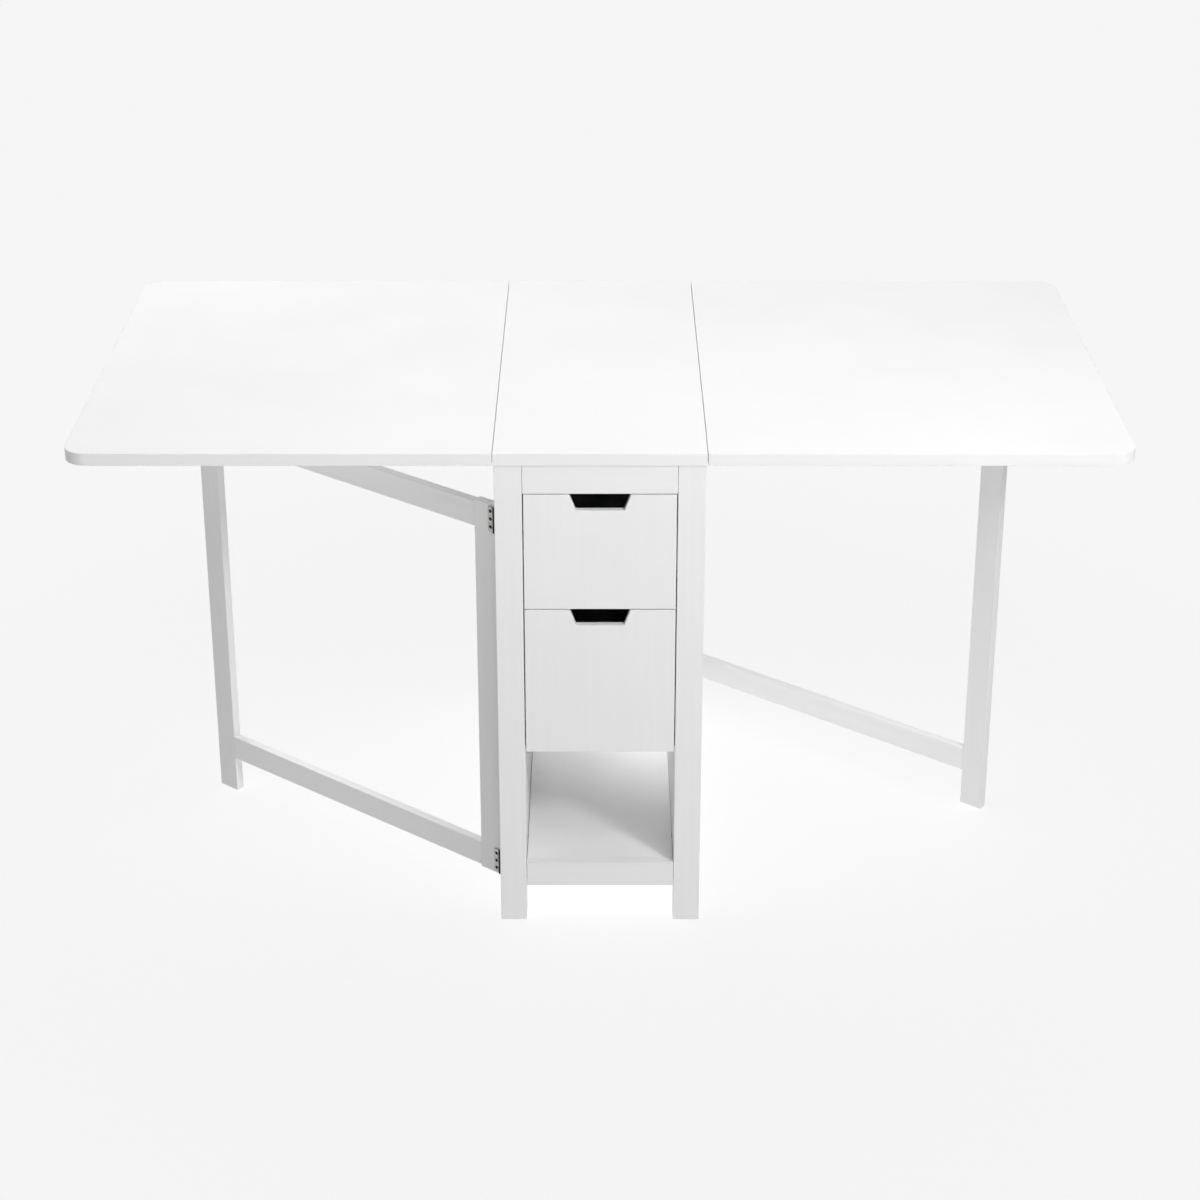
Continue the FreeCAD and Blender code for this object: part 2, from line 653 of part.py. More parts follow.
def gate_bar(y, z, axis):
    """One straight member of the folded left gate."""
    x = (-FRAME_HALF, -FRAME_HALF + GATE_THICKNESS)
    return eased(block(x, y, z), GATE_EASE, axis)


def gate_tenons(y, z, spare):
    """The two tenons of a gate rail, each larger than nominal by spare on every side."""
    middle = -FRAME_HALF + GATE_THICKNESS / 2
    half = TENON_THICKNESS / 2 + spare
    tenon_z = (z[0] + TENON_SHOULDER - spare, z[1] - TENON_SHOULDER + spare)
    tenons = []
    for low, high in ((y[0] - TENON_LENGTH - spare, y[0]), (y[1], y[1] + TENON_LENGTH + spare)):
        tenons.append(block((middle - half, middle + half), (low, high), tenon_z))
    return tenons


def gate_pieces():
    """The wooden members, hinge plates, pins and screws of the left gate, swung open."""
    inner_y = (GATE_START, GATE_START + GATE_POST_WIDTH)
    outer_y = (GATE_END - GATE_POST_WIDTH, GATE_END)
    low_z = (FOOT_CLEARANCE, GATE_LOWER_RAIL_TOP)
    high_z = (GATE_UPPER_RAIL_BOTTOM, GATE_UPPER_RAIL_TOP)
    inner_z = (low_z[0] - GATE_INNER_POST_OVERHANG, high_z[1] + GATE_INNER_POST_OVERHANG)
    inner_post = gate_bar(inner_y, inner_z, Z_AXIS)
    outer_post = gate_bar(outer_y, (0.0, UNDERSIDE - GATE_LEAF_CLEARANCE), Z_AXIS)
    rail_y = (inner_y[1], outer_y[0])
    rails = []
    for z in (low_z, high_z):
        rail = gate_bar(rail_y, z, Y_AXIS)
        rails.append(rail.fuse(gate_tenons(rail_y, z, 0.0)))
        mortises = gate_tenons(rail_y, z, GLUE_LINE)
        inner_post = inner_post.cut(mortises[0])
        outer_post = outer_post.cut(mortises[1])
    screws = seated_screws(GATE_HINGE, GATE_HINGE_SEATS, -1)
    pieces = {
        "inner_post": screwed(inner_post, screws),
        "outer_post": outer_post,
        "lower_rail": rails[0],
        "upper_rail": rails[1],
        "hinge_plates": Part.makeCompound(seated_plates(GATE_HINGE, GATE_HINGE_SEATS, -1, False)),
        "hinge_pins": Part.makeCompound(seated_pins(GATE_HINGE, GATE_HINGE_SEATS)),
        "hinge_screws": screw_group(screws),
    }
    return {name: opened(shape) for name, shape in pieces.items()}


# ---- Leaves ----
def stop_block():
    """The block under the left leaf that the open gate's outer post comes to rest against."""
    middle = GATE_END - GATE_POST_WIDTH / 2
    near = -FRAME_HALF - STOP_CLEARANCE
    y = (middle - STOP_LENGTH / 2, middle + STOP_LENGTH / 2)
    return block((near - STOP_WIDTH, near), y, (UNDERSIDE - STOP_HEIGHT, UNDERSIDE))


def stop_screws():
    """Two screws up through the stop block, with their heads sunk by half its height."""
    swing = FreeCAD.Placement(ORIGIN, FreeCAD.Rotation(Z_AXIS, GATE_OPEN_ANGLE),
                              FreeCAD.Vector(GATE_PIN_X, GATE_PIN_Y, 0))
    x = -FRAME_HALF - STOP_CLEARANCE - STOP_WIDTH / 2
    middle = GATE_END - GATE_POST_WIDTH / 2
    screws = []
    for offset in spaced(2, STOP_SCREW_PITCH):
        screws.append((FreeCAD.Vector(x, middle + offset, UNDERSIDE - STOP_HEIGHT / 2), Z_AXIS))
    return placed_screws(screws, swing)


def leaf_pieces():
    """The left leaf with its hinge plates, pins, gate stop and screws."""
    edge = TABLE_DEPTH / 2
    x = (-TABLE_LENGTH / 2, -LEAF_INNER)
    board = block(x, (-edge, edge), (UNDERSIDE, TABLE_HEIGHT))
    corners = []
    for corner_edge in board.Edges:
        box = corner_edge.BoundBox
        if box.ZLength > TOP_THICKNESS / 2 and box.XMax < x[0] + 1:
            corners.append(corner_edge)
    board = board.makeFillet(LEAF_CORNER_RADIUS, corners)
    rim = [rim_edge for rim_edge in board.Edges if rim_edge.BoundBox.ZLength < TOP_EASE / 10]
    board = board.makeChamfer(TOP_EASE, rim)
    screws = seated_screws(LEAF_HINGE, LEAF_HINGE_SEATS, -1) + stop_screws()
    stop = opened(stop_block())
    for place, _direction in stop_screws():
        head_room = SCREW_HEAD_RADIUS + SCREW_CLEARANCE
        base = place - Z_AXIS * STOP_HEIGHT
        stop = stop.cut(Part.makeCylinder(head_room, STOP_HEIGHT, base, Z_AXIS))
    return {
        "board": screwed(board, screws),
        "hinge_plates": Part.makeCompound(seated_plates(LEAF_HINGE, LEAF_HINGE_SEATS, -1, False)),
        "hinge_pins": Part.makeCompound(seated_pins(LEAF_HINGE, LEAF_HINGE_SEATS)),
        "gate_stop": screwed(stop, screws),
        "screws": screw_group(screws),
    }


def two_sided(prefix, pieces):
    """The left pieces and their half-turned copies, named by side."""
    named = {f"{prefix}_left_{name}": shape for name, shape in pieces.items()}
    for name, shape in pieces.items():
        named[f"{prefix}_right_{name}"] = half_turn(shape)
    return named


def export(pieces):
    """Writes one STEP file for each piece."""
    os.makedirs("parts", exist_ok=True)
    for name, shape in pieces.items():
        if not shape.isValid():
            raise ValueError(f"{name} is not a valid solid")
        shape.exportStep(f"parts/{name}.step")


def main():
    """Makes every piece at rest and writes it."""
    pieces = cabinet_pieces()
    pieces.update(two_sided("leaf", leaf_pieces()))
    pieces.update(two_sided("gate", gate_pieces()))
    pieces.update(drawer_pieces("upper_drawer", UPPER_FRONT_BOTTOM, UPPER_FRONT_TOP))
    pieces.update(drawer_pieces("lower_drawer", LOWER_FRONT_BOTTOM, LOWER_FRONT_TOP))
    export(pieces)
    print(len(pieces), "pieces")
    print("gate pin at x", GATE_PIN_X, "y", GATE_PIN_Y, "and leaf pin at x", -HINGE_LINE, "z", LEAF_PIN_Z)


main()
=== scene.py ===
"""A gateleg table: a narrow white cabinet with two drawers, two hinged leaves and two gates.

Lengths are in metres and angles in radians. +X runs along the opened table, +Y from the drawer end
to the back end, and +Z up. The origin is on the floor, under the middle of the top. At rest both
leaves are up and both gates are swung out. The long sides hold the same pieces, half a turn apart.
"""

import json
import logging
import math
from collections.abc import Callable, Iterable, Sequence
from dataclasses import dataclass, field
from enum import Enum

import bmesh
import bpy
from mathutils import Matrix, Vector

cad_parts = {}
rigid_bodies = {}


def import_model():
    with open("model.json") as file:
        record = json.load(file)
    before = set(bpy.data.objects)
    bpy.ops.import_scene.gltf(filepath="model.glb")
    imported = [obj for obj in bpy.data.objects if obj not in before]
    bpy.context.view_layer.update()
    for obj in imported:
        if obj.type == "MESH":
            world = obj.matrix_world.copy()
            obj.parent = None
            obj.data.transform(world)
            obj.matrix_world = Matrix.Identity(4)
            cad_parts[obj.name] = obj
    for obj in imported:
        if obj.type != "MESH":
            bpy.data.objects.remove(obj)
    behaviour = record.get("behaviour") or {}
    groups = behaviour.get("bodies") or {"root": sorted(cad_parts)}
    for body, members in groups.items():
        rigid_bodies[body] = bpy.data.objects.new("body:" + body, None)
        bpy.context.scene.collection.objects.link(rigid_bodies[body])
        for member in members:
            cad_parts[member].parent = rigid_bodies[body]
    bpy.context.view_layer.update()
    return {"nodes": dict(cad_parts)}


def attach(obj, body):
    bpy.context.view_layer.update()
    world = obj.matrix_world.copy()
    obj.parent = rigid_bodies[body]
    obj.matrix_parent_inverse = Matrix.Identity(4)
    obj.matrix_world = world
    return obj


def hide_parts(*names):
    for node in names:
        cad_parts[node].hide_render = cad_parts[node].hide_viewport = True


logging.basicConfig(level=logging.INFO, format="%(name)s: %(message)s")
log = logging.getLogger("gateleg_table")

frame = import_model()

MM = 0.001
HALF_TURN = Matrix.Rotation(math.pi, 4, "Z")
# An edge is sharp past SMOOTH_ANGLE. On sheet metal, whose rolled and folded faces meet at a
# slant, only an edge past SHEET_ANGLE is.
SMOOTH_ANGLE = math.radians(30)
SHEET_ANGLE = math.radians(50)
# How near two places have to be to count as one, and how straight an edge has to lie on an axis.
SNAP = 1e-6
PARALLEL = 0.999

Span = tuple[float, float]
Object = bpy.types.Object
Socket = bpy.types.NodeSocket


class Side(Enum):
    """A long side of the table."""

    LEFT = -1
    RIGHT = 1

    @property
    def word(self) -> str:
        """The side's word in names."""
        return self.name.lower()

    @property
    def turn(self) -> Matrix:
        """What carries a piece made for the left side to this side."""
        return Matrix.Identity(4) if self is Side.LEFT else HALF_TURN


class End(Enum):
    """An end of the cabinet."""

    FRONT = -1
    BACK = 1

    @property
    def word(self) -> str:
        """The end's word in names."""
        return self.name.lower()


class Slot(Enum):
    """The record's material slots."""

    TOP = "lacquered_top"
    FRAME = "lacquered_frame"
    FRONT = "lacquered_front"
    DRAWER = "drawer_board"
    HINGE = "hinge_steel"
    SCREW = "screw_steel"
    ZINC = "zinc_steel"
    DOWEL = "dowel_beech"


class Part(Enum):
    """What an operator in edit mode is to act on."""

    VERTS = "VERT"
    EDGES = "EDGE"
    FACES = "FACE"


# ---- Selecting and shaping ----
def select_only(*pieces: Object) -> None:
    """Selects these pieces alone, in object mode, with the last one active.

    Args:
        pieces: The pieces to select.
    """
    if bpy.context.mode != "OBJECT":
        bpy.ops.object.mode_set(mode="OBJECT")
    bpy.ops.object.select_all(action="DESELECT")
    for piece in pieces:
        piece.select_set(True)
    if pieces:
        bpy.context.view_layer.objects.active = pieces[-1]


def pick(piece: Object, part: Part, test: Callable[..., bool]) -> None:
    """Goes into edit mode with only the elements that pass the test selected.

    Args:
        piece: The piece to edit.
        part: Whether the test is on vertices, edges or faces.
        test: Says whether a mesh element is to be selected.
    """
    select_only(piece)
    bpy.ops.object.mode_set(mode="EDIT")
    bpy.ops.mesh.select_mode(type=part.value)
    bpy.ops.mesh.select_all(action="DESELECT")
    mesh = bmesh.from_edit_mesh(piece.data)
    elements = {Part.VERTS: mesh.verts, Part.EDGES: mesh.edges, Part.FACES: mesh.faces}[part]
    for element in elements:
        if test(element):
            element.select_set(True)
    bmesh.update_edit_mesh(piece.data)


def middle(element: bmesh.types.BMEdge | bmesh.types.BMFace) -> Vector:
    """The middle of an edge or a face."""
    return sum((vert.co for vert in element.verts), Vector()) / len(element.verts)


def along(edge: bmesh.types.BMEdge, axis: int) -> bool:
    """Whether an edge runs along the axis with that index."""
    run = edge.verts[1].co - edge.verts[0].co
    return abs(run[axis]) > PARALLEL * run.length


def named(piece: Object, name: str) -> Object:
    """Gives a piece and its mesh a name.

    Args:
        piece: The piece.
        name: The name.

    Returns:
        The same piece.
    """
    piece.name = name
    piece.data.name = name
    return piece


def settled(piece: Object) -> Object:
    """Puts the object at the origin, with its place in its mesh.

    Args:
        piece: The piece.

    Returns:
        The same piece.
    """
    select_only(piece)
    bpy.ops.object.transform_apply(location=True, rotation=True, scale=True)
    return piece


def started(name: str, primitive: Callable[..., set[str]], **settings: object) -> Object:
    """Adds a primitive, the start of a piece.

    Args:
        name: The piece's name.
        primitive: The operator that adds it.
        settings: The operator's properties.

    Returns:
        The piece, with its place in its mesh.
    """
    select_only()
    primitive(**settings)
    return settled(named(bpy.context.object, name))


def block(name: str, x: Span, y: Span, z: Span) -> Object:
    """A cube primitive added at a board's size and place.

    Args:
        name: The piece's name.
        x: Low and high value along X.
        y: Low and high value along Y.
        z: Low and high value along Z.

    Returns:
        The piece, still with sharp edges.
    """
    spans = (x, y, z)
    return started(
        name, bpy.ops.mesh.primitive_cube_add, size=1.0,
        location=[sum(span) / 2 for span in spans],
        scale=[abs(span[1] - span[0]) for span in spans],
    )


def sheet(name: str, x: Span, z: Span, y: float) -> Object:
    """An upright plane primitive that faces -Y, the start of a part bent from sheet metal.

    Args:
        name: The piece's name.
        x: Low and high value along X.
        z: Low and high value along Z.
        y: The plane's place along Y.

    Returns:
        The plane.
    """
    select_only()
    bpy.ops.mesh.primitive_plane_add(
        size=1.0,
        location=(sum(x) / 2, y, sum(z) / 2),
        rotation=(math.pi / 2, 0, 0),
    )
    piece = named(bpy.context.object, name)
    piece.scale = (abs(x[1] - x[0]), abs(z[1] - z[0]), 1.0)
    return settled(piece)


def modified(piece: Object, kind: str, **settings: object) -> Object:
    """Adds a modifier with its settings and applies it.

    Args:
        piece: The piece to change.
        kind: The modifier's type.
        settings: The modifier's properties.

    Returns:
        The same piece.
    """
    select_only(piece)
    modifier = piece.modifiers.new(kind.title(), kind)
    for key, value in settings.items():
        setattr(modifier, key, value)
    bpy.ops.object.modifier_apply(modifier=modifier.name)
    return piece


def rounded(piece: Object, radius: float, segments: int = 3) -> Object:
    """Rounds every sharp edge and keeps the flat faces flat in their shading.

    Args:
        piece: The piece to round.
        radius: The radius of the edges.
        segments: The faces across a rounded edge.

    Returns:
        The same piece.
    """
    select_only(piece)
    bpy.ops.object.shade_smooth()
    return modified(
        piece, "BEVEL", width=radius, segments=segments, limit_method="ANGLE",
        angle_limit=SMOOTH_ANGLE, harden_normals=True, miter_outer="MITER_ARC",
    )


def smoothed(piece: Object) -> Object:
    """Shades a piece smooth, except across its sharp edges.

    Args:
        piece: The piece to shade.

    Returns:
        The same piece.
    """
    select_only(piece)
    bpy.ops.object.shade_smooth_by_angle(angle=SMOOTH_ANGLE)
    return piece


def thickened(piece: Object, gauge: float, way: float, edge: float) -> Object:
    """Gives bent sheet metal its thickness and breaks its sharp edges.

    Args:
        piece: The bent sheet.
        gauge: The thickness.
        way: 1.0 to thicken it on the side that its faces look to, -1.0 on the other side.
        edge: The width of the broken edges.

    Returns:
        The same piece.
    """
    modified(piece, "SOLIDIFY", thickness=gauge, offset=way, use_even_offset=True)
    return modified(
        piece, "BEVEL", width=edge, segments=2, limit_method="ANGLE", angle_limit=SHEET_ANGLE
    )


def draw_out(x: float, y: float, z: float) -> None:
    """Extrudes the faces that are selected in edit mode and moves them."""
    bpy.ops.mesh.extrude_region_move(TRANSFORM_OT_translate={"value": (x, y, z)})


def cut(piece: Object, *cutters: Object) -> Object:
    """Takes the cutters' shapes out of a piece and removes the cutters.

    Args:
        piece: The piece to cut.
        cutters: The shapes to take away.

    Returns:
        The same piece.
    """
    for cutter in cutters:
        modified(piece, "BOOLEAN", operation="DIFFERENCE", object=cutter, solver="EXACT")
        bpy.data.objects.remove(cutter)
    return piece


def copied(master: Object, name: str, place: Matrix) -> Object:
    """A copy of a piece with its own mesh, carried to a place.

    Args:
        master: The piece to copy.
        name: The copy's name.
        place: What carries the master to the copy's place.

    Returns:
        The copy, with its place in its mesh.
    """
    select_only(master)
    bpy.ops.object.duplicate(linked=False)
    copy = named(bpy.context.object, name)
    copy.matrix_world = place
    return settled(copy)


def gathered(master: Object, name: str, places: Iterable[Matrix]) -> Object:
    """One piece made of a copy of the master at every place.

    Args:
        master: The piece to repeat.
        name: The name of the whole.
        places: What carries the master to each copy's place.

    Returns:
        The copies as one piece.
    """
    copies = [copied(master, f"{name}_{index}", place) for index, place in enumerate(places)]
    return joined(name, copies)


def joined(name: str, pieces: Sequence[Object]) -> Object:
    """Several pieces as one.

    Args:
        name: The name of the whole.
        pieces: The pieces to join.

    Returns:
        The whole.
    """
    select_only(*pieces)
    if len(pieces) > 1:
        bpy.ops.object.join()
    return named(bpy.context.object, name)


def swung(piece: Object, angle: float, pin: Vector) -> Object:
    """Turns a piece's mesh about an upright pin.

    Args:
        piece: The piece to turn.
        angle: The turn, anticlockwise from above.
        pin: A point on the pin.

    Returns:
        The same piece.
    """
    pick(piece, Part.VERTS, lambda vert: True)
    bpy.ops.transform.rotate(
        value=-angle, orient_axis="Z", orient_type="GLOBAL", center_override=pin
    )
    bpy.ops.object.mode_set(mode="OBJECT")
    return piece


def spaced(count: int, pitch: float) -> list[float]:
    """Offsets of a row of points at the given pitch, centred on zero."""
    return [(index - (count - 1) / 2) * pitch for index in range(count)]


def shifted(x: float, y: float, z: float) -> Matrix:
    """A move without a turn."""
    return Matrix.Translation((x, y, z))


def driven(place: Vector, way: Vector) -> Matrix:
    """Where a screw goes whose head is at place and whose point looks along way."""
    turn = Vector((0, 0, 1)).rotation_difference(way)
    return Matrix.Translation(place) @ turn.to_matrix().to_4x4()


# ---- Finishes ----
def linear(code: str) -> tuple[float, float, float, float]:
    """The linear colour of an sRGB colour.

    Args:
        code: The colour's hex code, such as "F2F2F0".

    Returns:
        Red, green, blue and a full alpha.
    """
    channels = [int(code[start:start + 2], 16) / 255 for start in (0, 2, 4)]
    red, green, blue = (
        value / 12.92 if value <= 0.04045 else ((value + 0.055) / 1.055) ** 2.4
        for value in channels
    )
    return red, green, blue, 1.0


def add_node(
    tree: bpy.types.NodeTree, kind: str, inputs: dict[str | int, object] | None = None,
    **settings: object,
) -> bpy.types.Node:
    """Adds a node with its settings, its constants and its links.

    Args:
        tree: The node tree.
        kind: The node's type.
        inputs: For each input, a constant or the output that feeds it.
        settings: The node's properties.

    Returns:
        The new node.
    """
    node = tree.nodes.new(kind)
    for key, value in settings.items():
        setattr(node, key, value)
    for key, value in (inputs or {}).items():
        if isinstance(value, bpy.types.NodeSocket):
            tree.links.new(value, node.inputs[key])
        else:
            node.inputs[key].default_value = value
    return node


PURE_WHITE = linear("FFFFFF")
# A noise pattern lies between these values nearly everywhere.
NOISE_LOW, NOISE_HIGH = 0.3, 0.7


@dataclass(frozen=True)
class Finish:
    """What every finish shares: a name, a slot of the record and a shader to wire."""

    title: str
    slot: Slot | None
    colour: str
    roughness: float

    def material(self) -> bpy.types.Material:
        """The finish's material, made once.

        Returns:
            The material.
        """
        found = bpy.data.materials.get(self.title)
        if found:
            return found
        made = bpy.data.materials.new(self.title)
        made.use_nodes = True
        tree = made.node_tree
        shader = tree.nodes["Principled BSDF"]
        shader.inputs["Base Color"].default_value = linear(self.colour)
        shader.inputs["Roughness"].default_value = self.roughness
        place = add_node(tree, "ShaderNodeTexCoord").outputs["Object"]
        self.wire(tree, shader, place)
        return made

    def wire(self, tree: bpy.types.NodeTree, shader: bpy.types.Node, place: Socket) -> None:
        """Wires the finish's own pattern; a plain finish has none."""


@dataclass(frozen=True)
class SprayedLacquer(Finish):
    """Satin polyurethane lacquer, sprayed over primed board or solid wood.

    It is an even, neutral white with a broad, blurred highlight. Its surface has a shallow orange
    peel, and the wood's grain stands under it as long, barely raised streaks.
    """

    shade: str = "EDEDED"
    grain: tuple[float, float, float] = (1.0, 1.0, 1.0)
    peel_size: float = 2.2 * MM
    peel_depth: float = 0.012 * MM
    streak_size: float = 9.0 * MM
    streak_depth: float = 0.01 * MM
    streak_share: float = 0.7
    cloud_size: float = 140.0 * MM
    sheen_spread: float = 0.03
    ior: float = 1.5

    def wire(self, tree: bpy.types.NodeTree, shader: bpy.types.Node, place: Socket) -> None:
        """Wires the clouding of the tone, the uneven sheen, the orange peel and the grain.

        Args:
            tree: The material's node tree.
            shader: The Principled BSDF.
            place: The Object coordinates.
        """
        stretched = add_node(
            tree, "ShaderNodeMapping", {"Vector": place, "Scale": self.grain}
        ).outputs["Vector"]
        cloud, streak, peel = (
            add_node(
                tree, "ShaderNodeTexNoise",
                {"Vector": spot, "Scale": 1 / size, "Detail": detail, "Roughness": rough},
            ).outputs["Fac"]
            for spot, size, detail, rough in (
                (place, self.cloud_size, 3.0, 0.5),
                (stretched, self.streak_size, 4.0, 0.6),
                (place, self.peel_size, 2.0, 0.4),
            )
        )
        # Inputs 2 and 3 are the two values that are mixed.
        tone = add_node(
            tree, "ShaderNodeMix", {"Factor": self.streak_share, 2: cloud, 3: streak},
            data_type="FLOAT",
        ).outputs[0]
        colour = add_node(tree, "ShaderNodeValToRGB", {"Fac": tone})
        stops = ((NOISE_LOW, self.shade), (NOISE_HIGH, self.colour))
        for stop, (position, code) in zip(colour.color_ramp.elements, stops):
            stop.position, stop.color = position, linear(code)
        sheen = add_node(
            tree, "ShaderNodeMapRange",
            {"Value": cloud, "From Min": NOISE_LOW, "From Max": NOISE_HIGH,
             "To Min": self.roughness - self.sheen_spread,
             "To Max": self.roughness + self.sheen_spread},
        ).outputs["Result"]
        grained = add_node(
            tree, "ShaderNodeBump",
            {"Height": streak, "Strength": self.streak_share, "Distance": self.streak_depth},
        ).outputs["Normal"]
        peeled = add_node(
            tree, "ShaderNodeBump",
            {"Height": peel, "Strength": 1.0, "Distance": self.peel_depth, "Normal": grained},
        ).outputs["Normal"]
        tree.links.new(colour.outputs["Color"], shader.inputs["Base Color"])
        tree.links.new(sheen, shader.inputs["Roughness"])
        tree.links.new(peeled, shader.inputs["Normal"])
        shader.inputs["IOR"].default_value = self.ior


@dataclass(frozen=True)
class BoardFoil(Finish):
    """Melamine foil pressed on chipboard: a flat, slightly grey white with a fine, even emboss."""

    emboss_size: float = 1.2 * MM
    emboss_depth: float = 0.03 * MM
    sheen_spread: float = 0.06
    ior: float = 1.47

    def wire(self, tree: bpy.types.NodeTree, shader: bpy.types.Node, place: Socket) -> None:
        """Wires the emboss and a slight unevenness of the sheen.

        Args:
            tree: The material's node tree.
            shader: The Principled BSDF.
            place: The Object coordinates.
        """
        emboss = add_node(
            tree, "ShaderNodeTexVoronoi", {"Vector": place, "Scale": 1 / self.emboss_size},
            feature="SMOOTH_F1",
        ).outputs["Distance"]
        sheen = add_node(
            tree, "ShaderNodeMapRange",
            {"Value": emboss, "To Min": self.roughness - self.sheen_spread,
             "To Max": self.roughness + self.sheen_spread},
        ).outputs["Result"]
        bump = add_node(
            tree, "ShaderNodeBump", {"Height": emboss, "Distance": self.emboss_depth}
        ).outputs["Normal"]
        tree.links.new(sheen, shader.inputs["Roughness"])
        tree.links.new(bump, shader.inputs["Normal"])
        shader.inputs["IOR"].default_value = self.ior


@dataclass(frozen=True)
class PlatedSteel(Finish):
    """Steel with an electroplated skin: a grey metal gloss, a little cloudy and finely grained.

    Nickel is warmer and glossier. Zinc is bluer and duller, with crystal patches a few
    millimetres wide.
    """

    patch: str = "A9A9A9"
    patch_size: float = 3.0 * MM
    patch_low: float = 0.35
    patch_high: float = 0.65
    rougher: float = 0.08
    smoother: float = 0.04
    grit_size: float = 0.35 * MM
    grit_depth: float = 0.01 * MM

    def wire(self, tree: bpy.types.NodeTree, shader: bpy.types.Node, place: Socket) -> None:
        """Wires the crystal patches, their sheen and the fine grit of the plating.

        Args:
            tree: The material's node tree.
            shader: The Principled BSDF.
            place: The Object coordinates.
        """
        patch = add_node(
            tree, "ShaderNodeTexNoise",
            {"Vector": place, "Scale": 1 / self.patch_size, "Detail": 3.0, "Distortion": 0.4},
        ).outputs["Fac"]
        colour = add_node(tree, "ShaderNodeValToRGB", {"Fac": patch})
        stops = ((self.patch_low, self.patch), (self.patch_high, self.colour))
        for stop, (position, code) in zip(colour.color_ramp.elements, stops):
            stop.position, stop.color = position, linear(code)
        sheen = add_node(
            tree, "ShaderNodeMapRange",
            {"Value": patch, "From Min": NOISE_LOW, "From Max": NOISE_HIGH,
             "To Min": self.roughness + self.rougher, "To Max": self.roughness - self.smoother},
        ).outputs["Result"]
        grit = add_node(
            tree, "ShaderNodeTexNoise", {"Vector": place, "Scale": 1 / self.grit_size}
        ).outputs["Fac"]
        bump = add_node(
            tree, "ShaderNodeBump", {"Height": grit, "Distance": self.grit_depth}
        ).outputs["Normal"]
        tree.links.new(colour.outputs["Color"], shader.inputs["Base Color"])
        tree.links.new(sheen, shader.inputs["Roughness"])
        tree.links.new(bump, shader.inputs["Normal"])
        shader.inputs["Metallic"].default_value = 1.0


@dataclass(frozen=True)
class TurnedBeech(Finish):
    """Beech rod, turned and fluted: pale pinkish brown with short dark flecks."""

    fleck: str = "A67C57"
    fleck_size: float = 1.5 * MM
    fleck_high: float = 0.45

    def wire(self, tree: bpy.types.NodeTree, shader: bpy.types.Node, place: Socket) -> None:
        """Wires the flecks.

        Args:
            tree: The material's node tree.
            shader: The Principled BSDF.
            place: The Object coordinates.
        """
        fleck = add_node(
            tree, "ShaderNodeTexNoise", {"Vector": place, "Scale": 1 / self.fleck_size}
        ).outputs["Fac"]
        colour = add_node(tree, "ShaderNodeValToRGB", {"Fac": fleck})
        stops = ((NOISE_LOW, self.fleck), (self.fleck_high, self.colour))
        for stop, (position, code) in zip(colour.color_ramp.elements, stops):
            stop.position, stop.color = position, linear(code)
        tree.links.new(colour.outputs["Color"], shader.inputs["Base Color"])


# The top and the panels are smooth board. The fronts have a faint upright grain, and the legs,
# rails and gates, of solid wood, have a stronger one that runs along them.
WHITE = "F1F1F1"
TOP_LACQUER = SprayedLacquer(
    "satin_lacquer_on_top_board", Slot.TOP, WHITE, 0.5,
    streak_share=0.0, shade="EFEFEF", sheen_spread=0.015,
)
FRONT_LACQUER = SprayedLacquer(
    "satin_lacquer_on_drawer_front", Slot.FRONT, WHITE, 0.48,
    grain=(1.0, 1.0, 0.06), streak_share=0.5,
)
UPRIGHT_LACQUER = SprayedLacquer(
    "satin_lacquer_on_upright_wood", Slot.FRAME, WHITE, 0.46, grain=(1.0, 1.0, 0.05)
)
LEVEL_LACQUER = SprayedLacquer(
    "satin_lacquer_on_level_wood", Slot.FRAME, WHITE, 0.46, grain=(0.05, 0.05, 1.0)
)
PANEL_LACQUER = SprayedLacquer(
    "satin_lacquer_on_panel", Slot.FRAME, WHITE, 0.48, streak_share=0.0
)
DRAWER_FOIL = BoardFoil("melamine_foil_on_drawer_board", Slot.DRAWER, "E6E6E6", 0.5)
NICKEL = PlatedSteel("nickel_plated_hinge_sheet", Slot.HINGE, "BDBCBA", 0.36, patch="A3A2A0")
# Black passivated zinc: a soft black metal, nearly without a highlight. On the gate hinges'
# knuckles it is painted shade: it stands for the dark gap between the gate post and the leg.
BLACK_ZINC_AND_GAP_SHADE = PlatedSteel("black_zinc_plated_steel", Slot.SCREW, "3C3C3E", 0.45, patch="2A2A2C")
ZINC_SCREW = PlatedSteel("zinc_plated_screw_steel", Slot.SCREW, "B4B6B9", 0.34, patch="93969A")
ZINC_SHEET = PlatedSteel("zinc_plated_rolled_sheet", Slot.ZINC, "BDC0C4", 0.36, patch="9DA1A6")
BEECH = TurnedBeech("turned_beech_dowel", Slot.DOWEL, "D3B289", 0.6)
# Opal acrylic sheet, lit from behind: an even glow with no highlight and faint, soft shadows.
ACRYLIC = Finish("backlit_acrylic_floor", None, "8C8C8C", 0.9)


def fit(piece: Object, finish: Finish, body: str, *nodes: str) -> Object:
    """Dresses a finished piece, ties it to its body and hides the frame's nodes that it stands
    for.

    Args:
        piece: The finished piece.
        finish: Its finish.
        body: The body that it moves with.
        nodes: The nodes of the frame that it stands for.

    Returns:
        The same piece.
    """
    if not piece.data.materials:
        piece.data.materials.append(finish.material())
    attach(piece, body)
    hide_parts(*nodes)
    log.info("%s: %d faces, on %s", piece.name, len(piece.data.polygons), body)
    return piece


